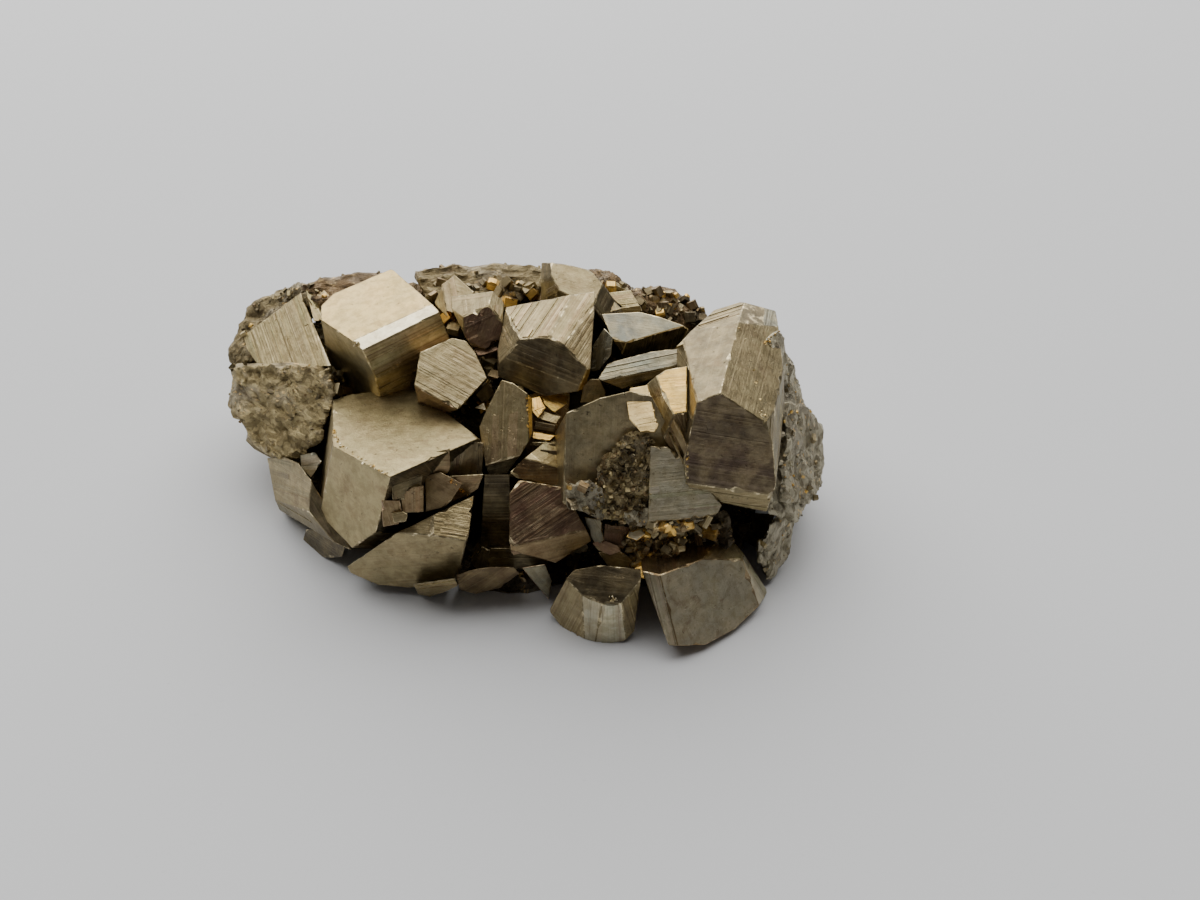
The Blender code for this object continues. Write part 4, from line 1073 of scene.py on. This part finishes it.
def crystals_of(rows, look, seed):
    """The crystals of a table: a list of blocks."""
    blocks = []
    for i, row in enumerate(rows):
        faces = dict(FINISHES.get(row["name"]) or mixed_finish(random.Random(seed + i)))
        folds = [None, *(corner[2] for corner in row["outline"]), *(cut[3] for cut in row["cuts"]), HIDDEN]
        faces["plain"] = {face for face, fold in enumerate(folds) if fold == HIDDEN and face not in faces}
        blocks.extend(crystal(row["name"], row["looks"], row["height"], row["outline"], row["depth"],
                              row["cuts"], faces, look, seed + i))
    return blocks


def free_planes(centre, size, looks, roll=0.0, bevel=0.25):
    """The planes of a blocky crystal that stands anywhere."""
    centre = Vector(centre) * MM
    half = Vector(size) * MM / 2
    turned = looking(*looks).to_track_quat("Z", "Y").to_matrix()
    turned = turned @ Matrix.Rotation(math.radians(roll), 3, "Z")
    planes = []
    for axis in range(3):
        for sign in (-1, 1):
            normal = Vector((0, 0, 0))
            normal[axis] = sign
            planes.append((centre + turned @ (normal * half[axis]) + SHIFT, turned @ normal))
    for axis in range(3):
        other = (axis + 1) % 3
        for sign in (-1, 1):
            for side in (-1, 1):
                normal = Vector((0, 0, 0))
                normal[axis] = 2 * sign
                normal[other] = side
                normal.normalize()
                reach = abs(normal[axis]) * half[axis] + abs(normal[other]) * half[other]
                reach -= bevel * min(half)
                planes.append((centre + turned @ (normal * reach) + SHIFT, turned @ normal))
    return planes


class OBJECT_OT_pyrite_large(bpy.types.Operator):
    """Builds the large crystals of the best side."""

    bl_idname = "object.pyrite_large"
    bl_label = "Large crystals"

    def execute(self, context):
        look = context.scene.pyrite_look
        piece = joined(crystals_of(LARGE_CRYSTALS, look, 100), "large_crystals", crystal_material(look))
        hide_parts("pyrite_cluster")
        return {"FINISHED"}


class OBJECT_OT_pyrite_small(bpy.types.Operator):
    """Builds the broken steps and the small crystals between the large ones."""

    bl_idname = "object.pyrite_small"
    bl_label = "Small crystals"

    def execute(self, context):
        look = context.scene.pyrite_look
        material = bpy.data.materials["striated_pyrite"]
        joined(crystals_of(BROKEN_STEPS, look, 200), "broken_steps", material)
        joined(crystals_of(SMALL_FACETS, look, 300), "small_crystals", material)
        return {"FINISHED"}


class OBJECT_OT_pyrite_back(bpy.types.Operator):
    """Builds the crystals of the back and the ends."""

    bl_idname = "object.pyrite_back"
    bl_label = "Crystals of the back"

    def execute(self, context):
        look = context.scene.pyrite_look
        blocks = []
        for i, row in enumerate(BACK_CRYSTALS):
            planes = free_planes(row["centre"], row["size"], row["looks"], row["roll"])
            made = cut_block(row["name"], planes, Vector(row["centre"]) * MM + SHIFT)
            wear_edges(made, planes, look.edge_width, BACK_CHIPS, 400 + i)
            draw = random.Random(400 + i)
            mark_faces(made, planes, {"other": (draw.choice(MIXED_TINTS), 0.7, 0.6)}, draw)
            blocks.append(made)
        joined(blocks, "back_crystals", bpy.data.materials["striated_pyrite"])
        return {"FINISHED"}


class OBJECT_OT_pyrite_ground(bpy.types.Operator):
    """Builds the rough broken ground that carries the crystals."""

    bl_idname = "object.pyrite_ground"
    bl_label = "Rough ground"

    def execute(self, context):
        look = context.scene.pyrite_look
        blocks = []
        heart_planes = [(Vector(place) * MM + SHIFT, Vector(way).normalized())
                        for place, way in HEART_PLANES]
        heart = cut_block("heart", heart_planes, Vector((0, 10, 15)) * MM + SHIFT)
        # The heart, seen only in the gaps between crystals, is tinted dark as painted shade.
        blocks.append(tinted(roughened(heart, look.ground_cell * 1.5, 1.9, 12.0, 1), "dark"))
        for row in [*ROUGH_GROUND, *CRUMBLED]:
            planes = crystal_planes(row["looks"], row["height"], row["outline"], row["depth"])
            planes = [(point + SHIFT, normal) for point, normal in planes]
            middle = planes[0][0] - planes[0][1] * row["depth"] * MM / 2
            rough = cut_block(row["name"], planes, middle)
            across, down, pull = FLOWS.get(row["name"], (0, 0, 0))
            flow = (RIGHT * across - UP * down).normalized()
            made = roughened(rough, look.ground_cell, row["roughness"], row["grain"], row["seed"], flow, pull)
            blocks.append(tinted(made, GROUND_TINTS.get(row["name"], "olive")))
        for i, (centre, size, looks, tint) in enumerate(BACK_ROCKS):
            planes = free_planes(centre, size, looks, 12 * i, 0.6)
            rock = cut_block("rock", planes, Vector(centre) * MM + SHIFT)
            blocks.append(tinted(roughened(rock, look.ground_cell * 1.3, 1.3, 6.0, 31 + i), tint))
        ground = joined(blocks, "rough_ground", ground_material(look))
        pick(ground)
        bpy.ops.object.shade_smooth_by_angle(angle=math.radians(24))
        return {"FINISHED"}


def tinted(piece, name):
    """Gives the whole piece one tint."""
    attribute = piece.data.attributes.new("tint", "FLOAT_COLOR", "POINT")
    attribute.data.foreach_set("color", (*TINTS[name], 1.0) * len(piece.data.vertices))
    return piece


def roughened(rough, cell, roughness, grain, seed, flow=Vector((0, 0, 0)), pull=0.0):
    """Remeshes a block into fine cells, roughens it, and marks the place that its grain is drawn out to."""
    pick(rough)
    remesh = rough.modifiers.new("cells", "REMESH")
    remesh.mode = "VOXEL"
    remesh.voxel_size = cell
    bpy.ops.object.modifier_apply(modifier="cells")
    shift = Vector((7.3, 3.1, 5.7)) * seed
    drawn_out = rough.data.attributes.new("drawn", "FLOAT_VECTOR", "POINT")
    for vert in rough.data.vertices:
        place = (vert.co - SHIFT) / MM
        sample = place / grain + shift
        push = noise.noise_vector(sample) + 0.25 * noise.noise_vector(sample * 2.1)
        drawn = place - flow * place.dot(flow) * pull
        drawn_out.data[vert.index].vector = drawn
        fine = noise.noise_vector(drawn / 1.9 + shift) * 0.35 + noise.noise_vector(drawn / 0.8) * 0.12
        ridge = 0.45 - abs(noise.noise(drawn / 2.6 + shift)) - 0.6 * abs(noise.noise(drawn / 1.1 - shift))
        vert.co += (push * roughness + fine + vert.normal * ridge * 1.3) * MM
        vert.co.z = max(vert.co.z, 0)
    return rough


class OBJECT_OT_pyrite_grains(bpy.types.Operator):
    """Sprinkles small crystals over the broken ground and into the hollows."""

    bl_idname = "object.pyrite_grains"
    bl_label = "Grains"

    def execute(self, context):
        look = context.scene.pyrite_look
        draw = random.Random(7)
        graph = context.evaluated_depsgraph_get()
        ground = bpy.data.objects["rough_ground"]
        crystals = [bpy.data.objects[name] for name in ("large_crystals", "broken_steps", "small_crystals")]
        ground_tree = BVHTree.FromObject(ground, graph)
        crystal_trees = [BVHTree.FromObject(piece, graph) for piece in crystals]
        places = []
        eye = EYE + SHIFT
        for left, top, right, bottom, tries, small, large, tints in GRAIN_PATCHES:
            for _ in range(tries):
                line = sight_line((draw.uniform(left, right), draw.uniform(top, bottom))).normalized()
                hit, normal, _, distance = ground_tree.ray_cast(eye, line)
                nearer = [tree.ray_cast(eye, line)[3] for tree in crystal_trees]
                size = small + (large - small) * draw.random() ** 2
                tint = draw.choice(tints)
                if hit and hit.z > size * MM and all(
                        reach is None or reach > distance for reach in nearer):
                    places.append((hit, normal, size, tint))
        # Bright chips along the edges, as painted highlights.
        for first, last, count, tints in EDGE_GLINTS:
            for _ in range(count):
                share = draw.random()
                pixel = [first[k] + (last[k] - first[k]) * share + draw.gauss(0, 1.2) for k in (0, 1)]
                line = sight_line(pixel).normalized()
                hits = [tree.ray_cast(eye, line) for tree in (ground_tree, *crystal_trees)]
                hit, normal, _, _ = min((found for found in hits if found[0]), key=lambda found: found[3])
                size, tint = draw.uniform(0.15, 0.42), draw.choice(tints)
                places.append((hit - normal * 0.08 * MM, normal, size, tint))
        vertices = ground.data.vertices
        for _ in range(look.loose_grains):
            vert = vertices[draw.randrange(len(vertices))]
            start = vert.co + vert.normal * 0.5 * MM
            covered = any(tree.ray_cast(start, vert.normal, 4 * MM)[0] for tree in crystal_trees)
            if not covered and vert.normal.z > -0.1 and vert.co.z > 1.5 * MM:
                size, tint = draw.uniform(0.3, 1.1), draw.choice(GRAIN_TINTS[:-1])
                places.append((vert.co.copy(), vert.normal.copy(), size, tint))
        models = grain_models(look)
        grains = []
        for hit, normal, size, tint in places:
            model, centre = draw.choice(models)
            turn = Matrix.Rotation(draw.uniform(0, 6.3), 4, "Z")
            turn = turn @ Matrix.Rotation(draw.uniform(0, 6.3), 4, "X")
            place = Matrix.Translation(hit + normal * size * draw.uniform(0.0, 0.25) * MM)
            grain = model.copy()
            grain.data = model.data.copy()
            grain.data.transform(place @ turn @ Matrix.Scale(size, 4) @ Matrix.Translation(-centre))
            tone = draw.uniform(0.8, 1.25)
            rgb = (*(x * tone for x in TINTS[tint]), 1.0)
            grain.data.attributes["tint"].data.foreach_set("color", rgb * len(grain.data.loops))
            context.scene.collection.objects.link(grain)
            grains.append(grain)
        for model, _ in models:
            bpy.data.objects.remove(model)
        joined(grains, "grains", bpy.data.materials["striated_pyrite"])
        return {"FINISHED"}


def grain_models(look):
    """A few small crystals, about a millimetre across, to copy."""
    models = []
    for i, size in enumerate(((1, 1, 1), (1.5, 0.9, 0.7), (1.1, 0.8, 1.2), (0.8, 0.8, 0.5))):
        centre = (20 * i, 0, 60)
        planes = free_planes(centre, size, (35 * i, 20), 15 * i)
        model = cut_block("grain", planes, Vector(centre) * MM + SHIFT)
        mark_faces(model, planes, {"other": ("moss", 0.6, 0.3)}, random.Random(i))
        models.append((model, Vector(centre) * MM + SHIFT))
    return models


class OBJECT_OT_pyrite_stage(bpy.types.Operator):
    """Builds the pale floor, the soft light and the camera."""

    bl_idname = "object.pyrite_stage"
    bl_label = "Stage"

    def execute(self, context):
        look = context.scene.pyrite_look
        deselect()
        bpy.ops.mesh.primitive_circle_add(vertices=96, radius=FLOOR_RADIUS, fill_type="NGON")
        floor = context.object
        floor.name = "floor"
        r = Recipe("floor")
        speck = r.ranged(r.noise(r.in_mm(), 0.9, 3.0, 0.6), 0.64, 0.78)
        base = r.mixed(speck * 0.12, colour(look.floor), (0.35, 0.35, 0.36, 1))
        floor.data.materials.append(r.finish(Base_Color=base, Roughness=0.75))
        for name, place, size, power, tint in LIGHTS:
            lamp = bpy.data.lights.new(name, "AREA")
            lamp.shape = "RECTANGLE"
            lamp.size, lamp.size_y = size
            lamp.energy = power * look.light
            lamp.color = tint
            box = bpy.data.objects.new(name, lamp)
            box.visible_camera = False
            box.location = place
            box.rotation_mode = "QUATERNION"
            box.rotation_quaternion = (Vector((0, 0, 0.02)) - Vector(place)).to_track_quat("-Z", "Y")
            context.scene.collection.objects.link(box)
        world = bpy.data.worlds.new("studio")
        world.use_nodes = True
        background = world.node_tree.nodes["Background"]
        background.inputs["Color"].default_value = colour(WORLD_COLOUR)
        background.inputs["Strength"].default_value = WORLD_STRENGTH
        context.scene.world = world
        lens = bpy.data.cameras.new("camera")
        lens.sensor_width = 36
        lens.lens = 36 * FOCAL_LENGTH / FRAME_WIDTH
        lens.clip_start = 0.001
        lens.clip_end = 20
        camera = bpy.data.objects.new("camera", lens)
        turned = Matrix((RIGHT, UP, TOWARDS)).transposed().to_4x4()
        camera.matrix_world = Matrix.Translation(EYE + SHIFT) @ turned
        context.scene.collection.objects.link(camera)
        context.scene.camera = camera
        return {"FINISHED"}


FLOOR_RADIUS = 2.5
WORLD_COLOUR = (0.74, 0.68, 0.66)
WORLD_STRENGTH = 0.12

# Softboxes: name, place, size in metres, share of the light, colour.
LIGHTS = [
    ("top_softbox", (-0.15, 0.70, 1.17), (3.0, 2.2), 1.0, (1.0, 0.985, 0.95)),
    ("back_softbox", (-0.3, 1.8, 0.5), (2.4, 0.8), 0.20, (1.0, 0.99, 0.97)),
]


class VIEW3D_PT_pyrite(bpy.types.Panel):
    """Lists the pieces of the specimen."""

    bl_label = "Pyrite specimen"
    bl_space_type = "VIEW_3D"
    bl_region_type = "UI"
    bl_category = "Pyrite"

    def draw(self, context):
        for name in SpecimenLook.__annotations__:
            self.layout.prop(context.scene.pyrite_look, name)
        for operator in OPERATORS:
            self.layout.operator(operator.bl_idname)


OPERATORS = (
    OBJECT_OT_pyrite_large,
    OBJECT_OT_pyrite_small,
    OBJECT_OT_pyrite_back,
    OBJECT_OT_pyrite_ground,
    OBJECT_OT_pyrite_grains,
    OBJECT_OT_pyrite_stage,
)


def register():
    for made in (SpecimenLook, *OPERATORS, VIEW3D_PT_pyrite):
        bpy.utils.register_class(made)
    bpy.types.Scene.pyrite_look = PointerProperty(type=SpecimenLook)


def unregister():
    del bpy.types.Scene.pyrite_look
    for made in (VIEW3D_PT_pyrite, *reversed(OPERATORS), SpecimenLook):
        bpy.utils.unregister_class(made)


def main():
    register()
    noise.seed_set(NOISE_SEED)
    bpy.ops.object.pyrite_large()
    bpy.ops.object.pyrite_small()
    bpy.ops.object.pyrite_back()
    bpy.ops.object.pyrite_ground()
    bpy.ops.object.pyrite_grains()
    bpy.ops.object.pyrite_stage()


if __name__ == "__main__":
    main()
